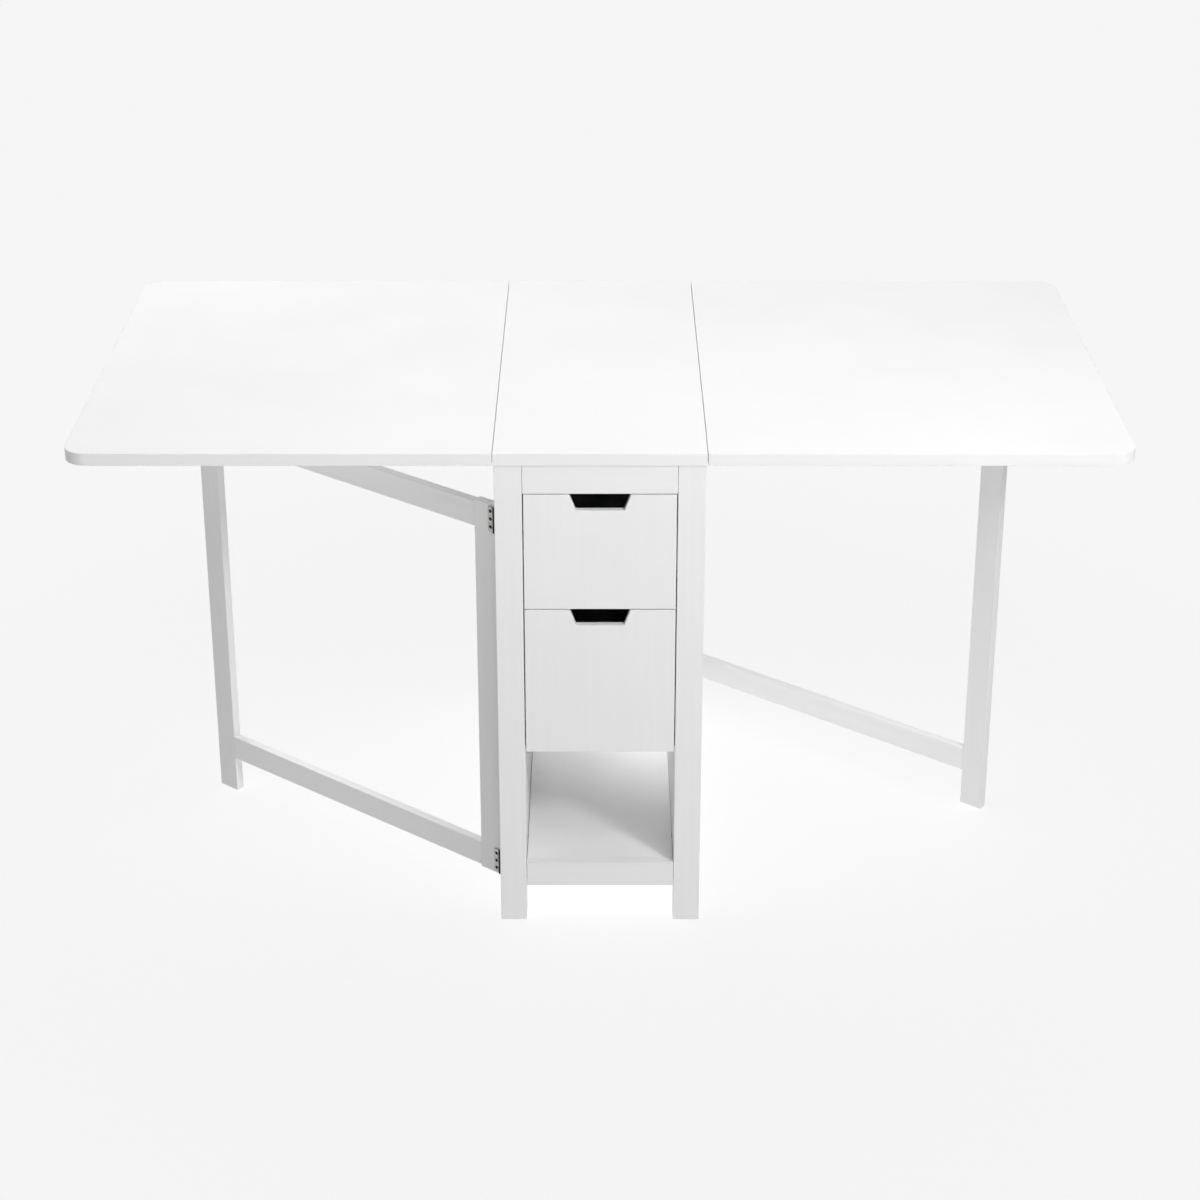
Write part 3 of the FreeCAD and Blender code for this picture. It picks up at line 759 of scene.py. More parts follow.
# ---- Fasteners and hinges, made once and copied ----
@dataclass
class Screw:
    """A countersunk screw with a cross recess.

    The master's head is at the origin, and its point looks along +Z.
    """

    head_radius: float = 2.8 * MM
    head_depth: float = 1.3 * MM
    shank_radius: float = 1.5 * MM
    length: float = 12.0 * MM
    tip: float = 3.0 * MM
    tip_share: float = 0.15
    recess_reach: float = 1.7 * MM
    recess_width: float = 0.85 * MM
    recess_depth: float = 1.1 * MM
    recess_taper: float = 0.45
    clearance: float = 0.05 * MM
    sink_rise: float = 0.2 * MM
    sink_reach: float = 3.0 * MM
    sides: int = 28
    master: Object = field(init=False)
    sink: Object = field(init=False)

    def __post_init__(self) -> None:
        """Makes the screw and the shape of the hole that it needs."""
        self.master = self.make_screw()
        self.sink = self.make_sink()

    def make_screw(self) -> Object:
        """The screw: a cone for the head, drawn out to the shank and the tip, then recessed.

        Returns:
            The master screw.
        """
        piece = started(
            "master_screw", bpy.ops.mesh.primitive_cone_add, vertices=self.sides,
            radius1=self.head_radius, radius2=self.shank_radius, depth=self.head_depth,
            location=(0, 0, self.head_depth / 2),
        )
        pick(piece, Part.FACES, lambda face: middle(face).z > self.head_depth - SNAP)
        draw_out(0, 0, self.length - self.head_depth - self.tip)
        draw_out(0, 0, self.tip)
        share = (self.tip_share, self.tip_share, 1)
        bpy.ops.transform.resize(value=share, center_override=(0, 0, self.length))
        bpy.ops.object.mode_set(mode="OBJECT")
        reach, half, depth = self.recess_reach, self.recess_width / 2, self.recess_depth
        for index, (x, y) in enumerate(((reach, half), (half, reach))):
            arm = block(f"recess_{index}", (-x, x), (-y, y), (-depth, depth))
            pick(arm, Part.FACES, lambda face: middle(face).z > depth - SNAP)
            share = (self.recess_taper, self.recess_taper, 1)
            bpy.ops.transform.resize(value=share, center_override=(0, 0, depth))
            bpy.ops.object.mode_set(mode="OBJECT")
            cut(piece, arm)
        return smoothed(piece)

    def make_sink(self) -> Object:
        """The countersunk hole as a solid, a little wider than the screw.

        Returns:
            The master cutter.
        """
        wide, narrow = self.head_radius + self.clearance, self.shank_radius + self.clearance
        slope = (wide - narrow) / self.head_depth
        piece = started(
            "master_sink", bpy.ops.mesh.primitive_cone_add, vertices=self.sides,
            radius1=wide + slope * self.sink_rise, radius2=narrow,
            depth=self.head_depth + self.sink_rise,
            location=(0, 0, (self.head_depth - self.sink_rise) / 2),
        )
        pick(piece, Part.FACES, lambda face: middle(face).z > self.head_depth - SNAP)
        draw_out(0, 0, self.sink_reach)
        bpy.ops.object.mode_set(mode="OBJECT")
        return piece

    def pierce(self, piece: Object, places: Sequence[Matrix]) -> Object:
        """Cuts a countersunk hole at each place into a piece.

        Args:
            piece: The piece to cut.
            places: Where the screws go.

        Returns:
            The same piece.
        """
        return cut(piece, gathered(self.sink, f"{piece.name}_sinks", places))

    def row(self, name: str, places: Iterable[Matrix]) -> Object:
        """The screws at all the places, as one piece."""
        return gathered(self.master, name, places)


@dataclass
class ButtHinge:
    """A hinge of two plates with rolled knuckles on a pin.

    The masters stand with the pin on an upright line one barrel radius in front of the mounting
    plane, which is y = 0. The fixed plate reaches +X and has the end knuckles; the moving plate
    reaches -X and has the middle knuckle.
    """

    kind: str
    screw: Screw
    length: float
    width: float
    gauge: float
    barrel: float
    inset: float
    pitch: float
    screws: int = 3
    corner: float = 1.6 * MM
    edge: float = 0.12 * MM
    knuckle_gap: float = 0.3 * MM
    pin_clearance: float = 0.05 * MM
    pin_end: float = 0.4 * MM
    knuckle_finish: Finish = NICKEL
    roll: float = math.radians(288)
    roll_steps: int = 22
    fixed: Object = field(init=False)
    moving: Object = field(init=False)
    pin: Object = field(init=False)

    def __post_init__(self) -> None:
        """Makes the two plates and the pin."""
        self.fixed = self.make_plate(f"master_{self.kind}_fixed", 1)
        self.moving = self.make_plate(f"master_{self.kind}_moving", -1)
        self.pin = self.make_pin()

    def screw_places(self, way: int) -> list[Matrix]:
        """Where the screws of one plate go.

        Args:
            way: 1 for the fixed plate and -1 for the moving one.

        Returns:
            A place for each screw.
        """
        return [
            driven(Vector((way * self.inset, -self.gauge, rise)), Vector((0, 1, 0)))
            for rise in spaced(self.screws, self.pitch)
        ]

    def make_plate(self, name: str, way: int) -> Object:
        """One plate: a sheet cut out between its knuckles, rolled round the pin, and thickened.

        Args:
            name: The plate's name.
            way: 1 for the fixed plate and -1 for the moving one.

        Returns:
            The plate.
        """
        room = self.barrel + self.knuckle_gap
        split = self.length / 6 + way * self.knuckle_gap / 2
        x = (0.0, self.width) if way > 0 else (-self.width, 0.0)
        plate = sheet(name, x, (-self.length / 2, self.length / 2), 0.0)
        cuts = (
            ((way * room, 0, 0), (1, 0, 0)),
            ((0, 0, split), (0, 0, 1)),
            ((0, 0, -split), (0, 0, 1)),
        )
        for point, normal in cuts:
            pick(plate, Part.FACES, lambda face: True)
            bpy.ops.mesh.bisect(plane_co=point, plane_no=normal)
        pick(plate, Part.FACES, lambda face: abs(middle(face).x) < room
             and (abs(middle(face).z) < split) == (way > 0))
        bpy.ops.mesh.delete(type="FACE")
        far = self.width - SNAP
        tall = self.length / 2 - SNAP
        pick(plate, Part.VERTS, lambda vert: abs(vert.co.x) > far and abs(vert.co.z) > tall)
        bpy.ops.mesh.bevel(offset=self.corner, segments=5, affect="VERTICES")
        pick(plate, Part.EDGES, lambda edge: abs(middle(edge).x) < SNAP and along(edge, 2))
        bpy.ops.mesh.spin(
            steps=self.roll_steps, angle=-way * self.roll, center=(0, -self.barrel, 0),
            axis=(0, 0, 1),
        )
        bpy.ops.object.mode_set(mode="OBJECT")
        thickened(plate, self.gauge, 1.0, self.edge)
        self.screw.pierce(plate, self.screw_places(way))
        # The knuckle faces near the pin take a second material. On the gate hinges it is black,
        # painted shade that stands for the dark gap between the gate post and the leg.
        for finish in (NICKEL, self.knuckle_finish):
            plate.data.materials.append(finish.material())
        for face in plate.data.polygons:
            face.material_index = int(abs(face.center.x) < room)
        return smoothed(plate)

    def make_pin(self) -> Object:
        """The pin, with its two ends rounded over.

        Returns:
            The pin.
        """
        piece = started(
            f"master_{self.kind}_pin", bpy.ops.mesh.primitive_cylinder_add, vertices=24,
            radius=self.barrel - self.gauge - self.pin_clearance, depth=self.length,
            location=(0, -self.barrel, 0),
        )
        modified(piece, "BEVEL", width=self.pin_end, segments=3, limit_method="ANGLE")
        return smoothed(piece)

    def fit_moving(self, side: Side, kind: str, seats: Sequence[Matrix]) -> list[Matrix]:
        """Dresses and ties the moving plates and the pins of one leaf or gate.

        Args:
            side: The side of the table.
            kind: What the hinges carry, leaf or gate.
            seats: Where the hinges go.

        Returns:
            A place for each screw of the plates.
        """
        body = f"{kind}_{side.word}"
        rows = (("plates", self.moving, NICKEL), ("pins", self.pin, ZINC_SCREW))
        for word, master, finish in rows:
            row = gathered(master, f"{side.word}_{kind}_{word}", seats)
            fit(row, finish, body, f"{body}_hinge_{word}")
        return [seat @ local for seat in seats for local in self.screw_places(-1)]


def retire(masters: Iterable[Object]) -> None:
    """Removes the masters once every copy is made."""
    for master in masters:
        bpy.data.objects.remove(master)


# ---- Sub-assemblies ----
@dataclass
class TableSize:
    """The sizes that the sub-assemblies share."""

    half_length: float = 750.0 * MM
    half_depth: float = 400.0 * MM
    height: float = 750.0 * MM
    underside: float = 732.0 * MM
    centre_half: float = 150.0 * MM
    seam: float = 0.8 * MM
    cabinet_half: float = 148.5 * MM
    leg_width: float = 39.0 * MM
    leg_depth: float = 35.0 * MM
    cabinet_end: float = 398.0 * MM
    side_thickness: float = 15.0 * MM
    foot_clearance: float = 59.3 * MM
    rail_height: float = 39.0 * MM
    upper_front: Span = (512.75 * MM, 688.0 * MM)
    lower_front: Span = (284.0 * MM, 511.25 * MM)

    @property
    def opening_half(self) -> float:
        """Half the width between the legs."""
        return self.cabinet_half - self.leg_width

    @property
    def leg_inner(self) -> float:
        """The legs' inner faces along Y."""
        return self.cabinet_end - self.leg_depth

    @property
    def rail_top(self) -> float:
        """The height of the bottom rails' upper edge."""
        return self.foot_clearance + self.rail_height

    @property
    def hinge_line(self) -> float:
        """The leaf hinges' line along X."""
        return self.centre_half + self.seam / 2


@dataclass
class Leaf:
    """A hinged leaf: its board, hinge plates, pins, gate stop and screws."""

    size: TableSize
    side: Side
    hinge: ButtHinge
    gate: "Gate"
    corner: float = 35.0 * MM
    edge_radius: float = 1.0 * MM
    hinge_reach: float = 310.0 * MM
    stop_depth: float = 20.0 * MM
    stop_length: float = 40.0 * MM
    stop_height: float = 12.0 * MM
    stop_gap: float = 0.3 * MM
    stop_pitch: float = 24.0 * MM
    stop_bore: float = 2.85 * MM
    stop_radius: float = 0.6 * MM

    @property
    def body(self) -> str:
        """The body that the leaf's pieces move with."""
        return f"leaf_{self.side.word}"

    def seats(self) -> list[Matrix]:
        """Where the leaf's three hinges go.

        Returns:
            A place for each hinge.
        """
        lying = Matrix.Rotation(math.pi / 2, 4, "X")
        spot = self.size
        return [
            self.side.turn @ shifted(-spot.hinge_line, y, spot.underside) @ lying
            for y in (-self.hinge_reach, 0.0, self.hinge_reach)
        ]

    def make_board(self) -> Object:
        """The board: two corners rounded in plan, then all edges eased.

        Returns:
            The board.
        """
        size = self.size
        name = f"{self.side.word}_leaf_board"
        x = (-size.half_length, -size.centre_half - size.seam)
        board = block(name, x, (-size.half_depth, size.half_depth), (size.underside, size.height))
        pick(board, Part.EDGES, lambda edge: along(edge, 2) and middle(edge).x < x[0] + SNAP)
        bpy.ops.mesh.bevel(offset=self.corner, segments=20, affect="EDGES")
        bpy.ops.object.mode_set(mode="OBJECT")
        rounded(board, self.edge_radius)
        board.matrix_world = self.side.turn
        return settled(board)

    def stop_screws(self) -> list[Matrix]:
        """Where the two screws of the gate stop go, for the left side.

        Returns:
            A place for each screw.
        """
        gate = self.gate
        x = -self.size.cabinet_half - self.stop_gap - self.stop_depth / 2
        z = self.size.underside - self.stop_height / 2
        return [
            gate.opening @ driven(Vector((x, gate.outer_middle + offset, z)), Vector((0, 0, 1)))
            for offset in spaced(2, self.stop_pitch)
        ]

    def make_stop(self) -> Object:
        """The block that the open gate's outer post comes to rest against, bored for its screws.

        Returns:
            The stop.
        """
        size = self.size
        near = -size.cabinet_half - self.stop_gap
        half = self.stop_length / 2
        span = (self.gate.outer_middle - half, self.gate.outer_middle + half)
        stop = block(f"{self.side.word}_gate_stop", (near - self.stop_depth, near), span,
                     (size.underside - self.stop_height, size.underside))
        swung(stop, self.gate.angle, self.gate.pin)
        for index, place in enumerate(self.stop_screws()):
            head = place.translation
            cut(stop, started(
                f"bore_{index}", bpy.ops.mesh.primitive_cylinder_add, vertices=32,
                radius=self.stop_bore, depth=self.stop_height,
                location=(head.x, head.y, head.z - self.stop_height / 2),
            ))
        rounded(stop, self.stop_radius, 2)
        stop.matrix_world = self.side.turn
        return settled(stop)

    def build(self) -> None:
        """Makes, dresses and ties the leaf's pieces."""
        word = self.side.word
        fit(self.make_board(), TOP_LACQUER, self.body, f"leaf_{word}_board")
        fit(self.make_stop(), PANEL_LACQUER, self.body, f"leaf_{word}_gate_stop")
        places = self.hinge.fit_moving(self.side, "leaf", self.seats())
        places += [self.side.turn @ place for place in self.stop_screws()]
        fit(self.hinge.screw.row(f"{word}_leaf_screws", places), ZINC_SCREW, self.body,
            f"leaf_{word}_screws")


@dataclass
class Gate:
    """A gate: two posts, two rails, hinge plates, pins and screws.

    It is made folded against the left side, then swung open about its pin.
    """

    size: TableSize
    side: Side
    hinge: ButtHinge
    angle: float = math.radians(50)
    thickness: float = 14.2 * MM
    post_width: float = 39.0 * MM
    end_room: float = 103.0 * MM
    upper_drop: float = 78.0 * MM
    overhang: float = 3.0 * MM
    leaf_gap: float = 0.3 * MM
    hinge_seam: float = 2.0 * MM
    tenon: tuple[float, float, float] = (6.0 * MM, 22.0 * MM, 27.0 * MM)
    edge_radius: float = 1.2 * MM

    @property
    def body(self) -> str:
        """The body that the gate's pieces move with."""
        return f"gate_{self.side.word}"

    @property
    def pin(self) -> Vector:
        """A point on the left gate's pin line."""
        x = -self.size.cabinet_half - self.hinge.barrel
        return Vector((x, -self.size.leg_inner + self.hinge_seam / 2, 0))

    @property
    def opening(self) -> Matrix:
        """What carries a piece of the folded left gate to its open place."""
        turn = Matrix.Rotation(self.angle, 4, "Z")
        return Matrix.Translation(self.pin) @ turn @ Matrix.Translation(-self.pin)

    @property
    def post_spans(self) -> tuple[Span, Span]:
        """The inner and the outer post's spans along Y, folded."""
        start = self.pin.y + self.hinge_seam / 2
        end = self.size.leg_inner - self.end_room
        return (start, start + self.post_width), (end - self.post_width, end)

    @property
    def outer_middle(self) -> float:
        """The middle of the outer post along Y, folded."""
        return sum(self.post_spans[1]) / 2

    @property
    def rail_levels(self) -> tuple[Span, Span]:
        """The lower and the upper rail's spans along Z."""
        size = self.size
        top = size.underside - self.upper_drop
        return (size.foot_clearance, size.rail_top), (top - size.rail_height, top)

    def seats(self) -> list[Matrix]:
        """Where the gate's two hinges go.

        Returns:
            A place for each hinge.
        """
        facing = Matrix.Rotation(-math.pi / 2, 4, "Z")
        return [
            self.side.turn @ shifted(-self.size.cabinet_half, self.pin.y, sum(level) / 2) @ facing
            for level in self.rail_levels
        ]

    def finish_bar(self, bar: Object) -> Object:
        """Rounds a member, swings it open and takes it to its side.

        Args:
            bar: A member of the folded left gate.

        Returns:
            The same member at its rest place.
        """
        rounded(bar, self.edge_radius)
        swung(bar, self.angle, self.pin)
        bar.matrix_world = self.side.turn
        return settled(bar)

    def make_post(self, name: str, span: Span, z: Span) -> Object:
        """One upright of the gate.

        Args:
            name: The post's name.
            span: Its span along Y, folded.
            z: Its span along Z.

        Returns:
            The post at its rest place.
        """
        face = -self.size.cabinet_half
        return self.finish_bar(block(name, (face, face + self.thickness), span, z))

    def make_rail(self, name: str, z: Span) -> Object:
        """One rail with a tenon drawn out of each end.

        Args:
            name: The rail's name.
            z: Its span along Z.

        Returns:
            The rail at its rest place.
        """
        face = -self.size.cabinet_half
        inner, outer = self.post_spans
        rail = block(name, (face, face + self.thickness), (inner[1], outer[0]), z)
        thick, reach, tall = self.tenon
        share = (thick / self.thickness, 1, tall / (z[1] - z[0]))
        for y, way in ((inner[1], -1), (outer[0], 1)):
            pick(rail, Part.FACES, lambda end: abs(middle(end).y - y) < SNAP)
            draw_out(0, 0, 0)
            centre = (face + self.thickness / 2, y, sum(z) / 2)
            bpy.ops.transform.resize(value=share, center_override=centre)
            draw_out(0, way * reach, 0)
        bpy.ops.object.mode_set(mode="OBJECT")
        return self.finish_bar(rail)

    def build(self) -> None:
        """Makes, dresses and ties the gate's pieces."""
        word = self.side.word
        (inner, outer), (low, high) = self.post_spans, self.rail_levels
        inner_z = (low[0] - self.overhang, high[1] + self.overhang)
        outer_z = (0.0, self.size.underside - self.leaf_gap)
        posts = (("inner_post", inner, inner_z), ("outer_post", outer, outer_z))
        for name, span, z in posts:
            post = self.make_post(f"{word}_gate_{name}", span, z)
            fit(post, UPRIGHT_LACQUER, self.body, f"gate_{word}_{name}")
        for name, z in (("lower_rail", low), ("upper_rail", high)):
            rail = self.make_rail(f"{word}_gate_{name}", z)
            fit(rail, LEVEL_LACQUER, self.body, f"gate_{word}_{name}")
        opening = self.side.turn @ self.opening @ self.side.turn
        seats = [opening @ seat for seat in self.seats()]
        places = self.hinge.fit_moving(self.side, "gate", seats)
        fit(self.hinge.screw.row(f"{word}_gate_screws", places), BLACK_ZINC_AND_GAP_SHADE, self.body,
            f"gate_{word}_hinge_screws")


@dataclass
class Runner:
    """A drawer runner: two nested channels of rolled sheet on each side of the drawer."""

    screw: Screw
    start: float = -383.0 * MM
    length: float = 490.0 * MM
    gauge: float = 1.2 * MM
    fold: float = 1.6 * MM
    edge: float = 0.15 * MM
    screws: int = 3
    screw_inset: float = 40.0 * MM
    outer_web: float = 109.5 * MM
    outer_reach: float = 99.5 * MM
    outer_half: float = 17.5 * MM
    inner_web: float = 96.8 * MM
    inner_reach: float = 108.0 * MM
    inner_half: float = 16.0 * MM

    def screw_places(self, web: float, side: int, way: int, level: float) -> list[Matrix]:
        """Where the screws of one channel go.

        Args:
            web: The distance of the web's screwed face from the middle of the cabinet.
            side: -1 for the left channel and 1 for the right one.
            way: 1 for screws driven outwards and -1 for inwards.
            level: The height of the channel's middle.

        Returns:
            A place for each screw.
        """
        pitch = (self.length - 2 * self.screw_inset) / (self.screws - 1)
        centre = self.start + self.length / 2
        return [
            driven(Vector((side * web, centre + offset, level)), Vector((side * way, 0, 0)))
            for offset in spaced(self.screws, pitch)
        ]

    def make_channel(
        self, name: str, web: float, reach: float, half: float, side: int, level: float
    ) -> Object:
        """One channel: a sheet folded twice, thickened inwards and pierced.

        Args:
            name: The channel's name.
            web: The web's outer face, from the middle of the cabinet.
            reach: The flanges' edges, from the middle of the cabinet.
            half: Half the channel's height.
            side: -1 for the left channel and 1 for the right one.
            level: The height of its middle.

        Returns:
            The channel.
        """
        end = self.start + self.length
        channel = block(name, (side * min(web, reach), side * max(web, reach)),
                        (self.start, end), (level - half, level + half))
        centre = self.start + self.length / 2
        pick(channel, Part.FACES, lambda face: abs(middle(face).x - side * reach) < SNAP
             or abs(middle(face).y - centre) > self.length / 2 - SNAP)
        bpy.ops.mesh.delete(type="FACE")
        pick(channel, Part.EDGES, lambda edge: along(edge, 1)
             and abs(middle(edge).x - side * web) < SNAP)
        bpy.ops.mesh.bevel(offset=self.fold, segments=4, affect="EDGES")
        bpy.ops.object.mode_set(mode="OBJECT")
        thickened(channel, self.gauge, -1.0, self.edge)
        towards = 1 if reach > web else -1
        face = web + towards * self.gauge
        self.screw.pierce(channel, self.screw_places(face, side, -towards, level))
        return smoothed(channel)

    def make_pair(self, name: str, outer: bool, level: float) -> Object:
        """The left and the right channel of one kind, as one piece.

        Args:
            name: The pair's name.
            outer: True for the cabinet's channels and False for the drawer's.
            level: The height of their middle.

        Returns:
            The pair.
        """
        sizes = (
            (self.outer_web, self.outer_reach, self.outer_half) if outer
            else (self.inner_web, self.inner_reach, self.inner_half)
        )
        pair = [self.make_channel(f"{name}_{side}", *sizes, side, level) for side in (-1, 1)]
        return joined(name, pair)


@dataclass
class Drawer:
    """A drawer: a front with a finger notch, a box of board, and runner channels and screws."""

    size: TableSize
    name: str
    front_z: Span
    runner: Runner
    front_thickness: float = 12.0 * MM
    front_gap: float = 1.5 * MM
    notch_top: float = 87.0 * MM
    notch_floor: float = 69.0 * MM
    notch_depth: float = 24.0 * MM
    overshoot: float = 2.0 * MM
    box_half: float = 96.8 * MM
    board: float = 12.0 * MM
    bottom: float = 4.0 * MM
    box_length: float = 500.0 * MM
    rise: float = 22.0 * MM
    drop: float = 30.0 * MM
    groove_rise: float = 8.0 * MM
    housing: float = 5.0 * MM
    runner_rise: float = 45.0 * MM
    front_radius: float = 0.9 * MM
    board_radius: float = 1.0 * MM
    bottom_radius: float = 0.4 * MM

    @property
    def body(self) -> str:
        """The body that the drawer's pieces move with."""
        return f"{self.name}_drawer"

    @property
    def level(self) -> float:
        """The height of the runners' middle."""
        return self.front_z[0] + self.rise + self.runner_rise

    def make_front(self) -> Object:
        """The front: a board with a tapered notch cut out of its upper edge.

        Returns:
            The front.
        """
        size = self.size
        half = size.opening_half - self.front_gap
        outer, inner = -size.cabinet_end, -size.cabinet_end + self.front_thickness
        front = block(f"{self.name}_front_board", (-half, half), (outer, inner), self.front_z)
        top, over = self.front_z[1], self.overshoot
        floor = top - self.notch_depth
        slant = (self.notch_top - self.notch_floor) / (2 * self.notch_depth)
        wide = self.notch_top / 2 + over * slant
        notch = block("notch", (-wide, wide), (outer - over, inner + over), (floor, top + over))
        pick(notch, Part.FACES, lambda face: abs(middle(face).z - floor) < SNAP)
        share = (self.notch_floor / 2 / wide, 1, 1)
        bpy.ops.transform.resize(value=share, center_override=(0, (outer + inner) / 2, floor))
        bpy.ops.object.mode_set(mode="OBJECT")
        return rounded(cut(front, notch), self.front_radius)

    def make_box(self) -> dict[str, Object]:
        """The sides, back and bottom of the box.

        Returns:
            Each board by its name.
        """
        low, high = self.front_z[0] + self.rise, self.front_z[1] - self.drop
        start = -self.size.cabinet_end + self.front_thickness
        end = start + self.box_length
        inner = self.box_half - self.board
        housed = inner + self.housing
        side_y = (start - self.housing, end)
        back_y = (end - 2 * self.board, end - self.board)
        floor = low + self.groove_rise
        made = {
            "side_left": block("", (-self.box_half, -inner), side_y, (low, high)),
            "side_right": block("", (inner, self.box_half), side_y, (low, high)),
            "back": block("", (-housed, housed), back_y, (low, high)),
            "bottom": block("", (-housed, housed), (side_y[0], back_y[0] + self.housing),
                            (floor, floor + self.bottom)),
        }
        for part, piece in made.items():
            named(piece, f"{self.name}_box_{part}")
            rounded(piece, self.bottom_radius if part == "bottom" else self.board_radius, 2)
        return made

    def build(self) -> None:
        """Makes, dresses and ties the drawer's pieces."""
        fit(self.make_front(), FRONT_LACQUER, self.body, f"{self.body}_front")
        for part, piece in self.make_box().items():
            fit(piece, DRAWER_FOIL, self.body, f"{self.body}_{part}")
        channels = self.runner.make_pair(f"{self.name}_inner_channels", False, self.level)
        fit(channels, ZINC_SHEET, self.body, f"{self.body}_runners")
        web = self.runner.inner_web + self.runner.gauge
        places = [
            place for side in (-1, 1)
            for place in self.runner.screw_places(web, side, -1, self.level)
        ]
        screws = self.runner.screw.row(f"{self.name}_channel_screws", places)
        fit(screws, ZINC_SCREW, self.body, f"{self.body}_runner_screws")


@dataclass
class Cabinet:
    """What stands still: the centre board, legs, rails, panels and the fixed hardware."""

    size: TableSize
    gates: Sequence[Gate]
    leaves: Sequence[Leaf]
    drawers: Sequence[Drawer]
    runner: Runner
    body: str = "cabinet"
    apron_thickness: float = 18.0 * MM
    apron_height: float = 42.5 * MM
    bottom_rail: float = 16.0 * MM
    shelf: float = 15.0 * MM
    ceiling_bottom: float = 286.0 * MM
    ceiling_start: float = -384.0 * MM
    back_panel_bottom: float = 284.0 * MM
    bracket: float = 25.0 * MM
    bracket_gauge: float = 2.0 * MM
    bracket_width: float = 20.0 * MM
    bracket_reach: float = 200.0 * MM
    bracket_screw: float = 15.0 * MM
    bracket_corner: float = 3.0 * MM
    bracket_edge: float = 0.25 * MM
    top_radius: float = 0.7 * MM
    leg_radius: float = 1.0 * MM
    rail_radius: float = 0.8 * MM
    reveal: float = 0.8 * MM
    butt_joint: float = 0.4 * MM

    def build_top(self) -> None:
        """Makes the fixed middle board of the top."""
        size = self.size
        board = block("centre_board", (-size.centre_half, size.centre_half),
                      (-size.half_depth, size.half_depth), (size.underside, size.height))
        fit(rounded(board, self.top_radius), TOP_LACQUER, self.body, "top_centre")

    def build_legs(self) -> None:
        """Makes one leg and copies it to the other three corners."""
        size = self.size
        leg = block("leg", (-size.cabinet_half, -size.opening_half),
                    (-size.cabinet_end, -size.leg_inner), (0.0, size.underside))
        rounded(leg, self.leg_radius)
        x = (size.cabinet_half + size.opening_half) / 2
        y = (size.cabinet_end + size.leg_inner) / 2
        for end in End:
            for side in Side:
                place = shifted(side.value * x + x, end.value * y + y, 0)
                copy = copied(leg, f"{end.word}_{side.word}_leg", place)
                fit(copy, UPRIGHT_LACQUER, self.body, f"leg_{end.word}_{side.word}")
        retire([leg])

    def build_boards(self) -> None:
        """Makes the rails, side panels, shelf, ceiling and back."""
        size = self.size
        half, end = size.opening_half, size.cabinet_end
        depth = end - self.bottom_rail
        web = end - self.apron_thickness
        shelf_z = (size.rail_top - self.shelf, size.rail_top)
        ceiling_z = (self.ceiling_bottom, self.ceiling_bottom + self.shelf)
        apron_z = (size.underside - self.apron_height, size.underside)
        side_z = (size.foot_clearance, size.underside)
        rail_z = (size.foot_clearance, size.rail_top)
        back_z = (self.back_panel_bottom, apron_z[0])
        beside = (half, half + size.side_thickness)
        lengthwise = (-size.leg_inner, size.leg_inner)
        across = (-half, half)
        between = (-half + self.butt_joint, half - self.butt_joint)
        within = (-half + self.reveal, half - self.reveal)
        boards = (
            ("front_apron", "apron_front", between, (-end, -web), apron_z, LEVEL_LACQUER),
            ("back_apron", "apron_back", between, (web, end), apron_z, LEVEL_LACQUER),
            ("front_bottom_rail", "bottom_rail_front", between, (-end, -depth), rail_z,
             LEVEL_LACQUER),
            ("back_bottom_rail", "bottom_rail_back", between, (depth, end), rail_z,
             LEVEL_LACQUER),
            ("left_side_board", "side_panel_left", (-beside[1], -beside[0]), lengthwise, side_z,
             PANEL_LACQUER),
            ("right_side_board", "side_panel_right", beside, lengthwise, side_z, PANEL_LACQUER),
            ("shelf_board", "bottom_shelf", within, (-depth, depth), shelf_z, PANEL_LACQUER),
            ("ceiling_board", "middle_panel", across, (self.ceiling_start, depth), ceiling_z,
             PANEL_LACQUER),
            ("back_board", "back_panel", across, (depth, end), back_z, PANEL_LACQUER),
        )
        for name, node, x, y, z, finish in boards:
            fit(rounded(block(name, x, y, z), self.rail_radius), finish, self.body, node)

    def bracket_places(self) -> list[Matrix]:
        """Where the four top brackets go; the master is at the right side's y = 0.

        Returns:
            A place for each bracket.
        """
        return [
            turn @ shifted(0, y, 0) for turn in (Matrix.Identity(4), HALF_TURN)
            for y in (-self.bracket_reach, self.bracket_reach)
        ]

    def bracket_screws(self) -> list[Matrix]:
        """Where the two screws of the master bracket go.

        Returns:
            A place for each screw.
        """
        half, top = self.size.opening_half, self.size.underside
        far, near = self.bracket_screw, self.bracket_gauge
        return [
            driven(Vector((half - far, 0, top - near)), Vector((0, 0, 1))),
            driven(Vector((half - near, 0, top - far)), Vector((1, 0, 0))),
        ]

    def make_brackets(self) -> Object:
        """The angle brackets: a strip folded once, its corners rounded, thickened and pierced.

        Returns:
            The four brackets.
        """
        half, top = self.size.opening_half, self.size.underside
        width = self.bracket_width / 2
        strip = block("master_bracket", (half - self.bracket, half), (-width, width),
                      (top - self.bracket, top))
        pick(strip, Part.FACES, lambda face: max(face.normal.x, face.normal.z) < PARALLEL)
        bpy.ops.mesh.delete(type="FACE")
        pick(strip, Part.VERTS, lambda vert: vert.co.x < half - self.bracket + SNAP
             or vert.co.z < top - self.bracket + SNAP)
        bpy.ops.mesh.bevel(offset=self.bracket_corner, segments=5, affect="VERTICES")
        bpy.ops.object.mode_set(mode="OBJECT")
        thickened(strip, self.bracket_gauge, -1.0, self.bracket_edge)
        self.runner.screw.pierce(strip, self.bracket_screws())
        brackets = gathered(smoothed(strip), "top_angle_brackets", self.bracket_places())
        retire([strip])
        return brackets

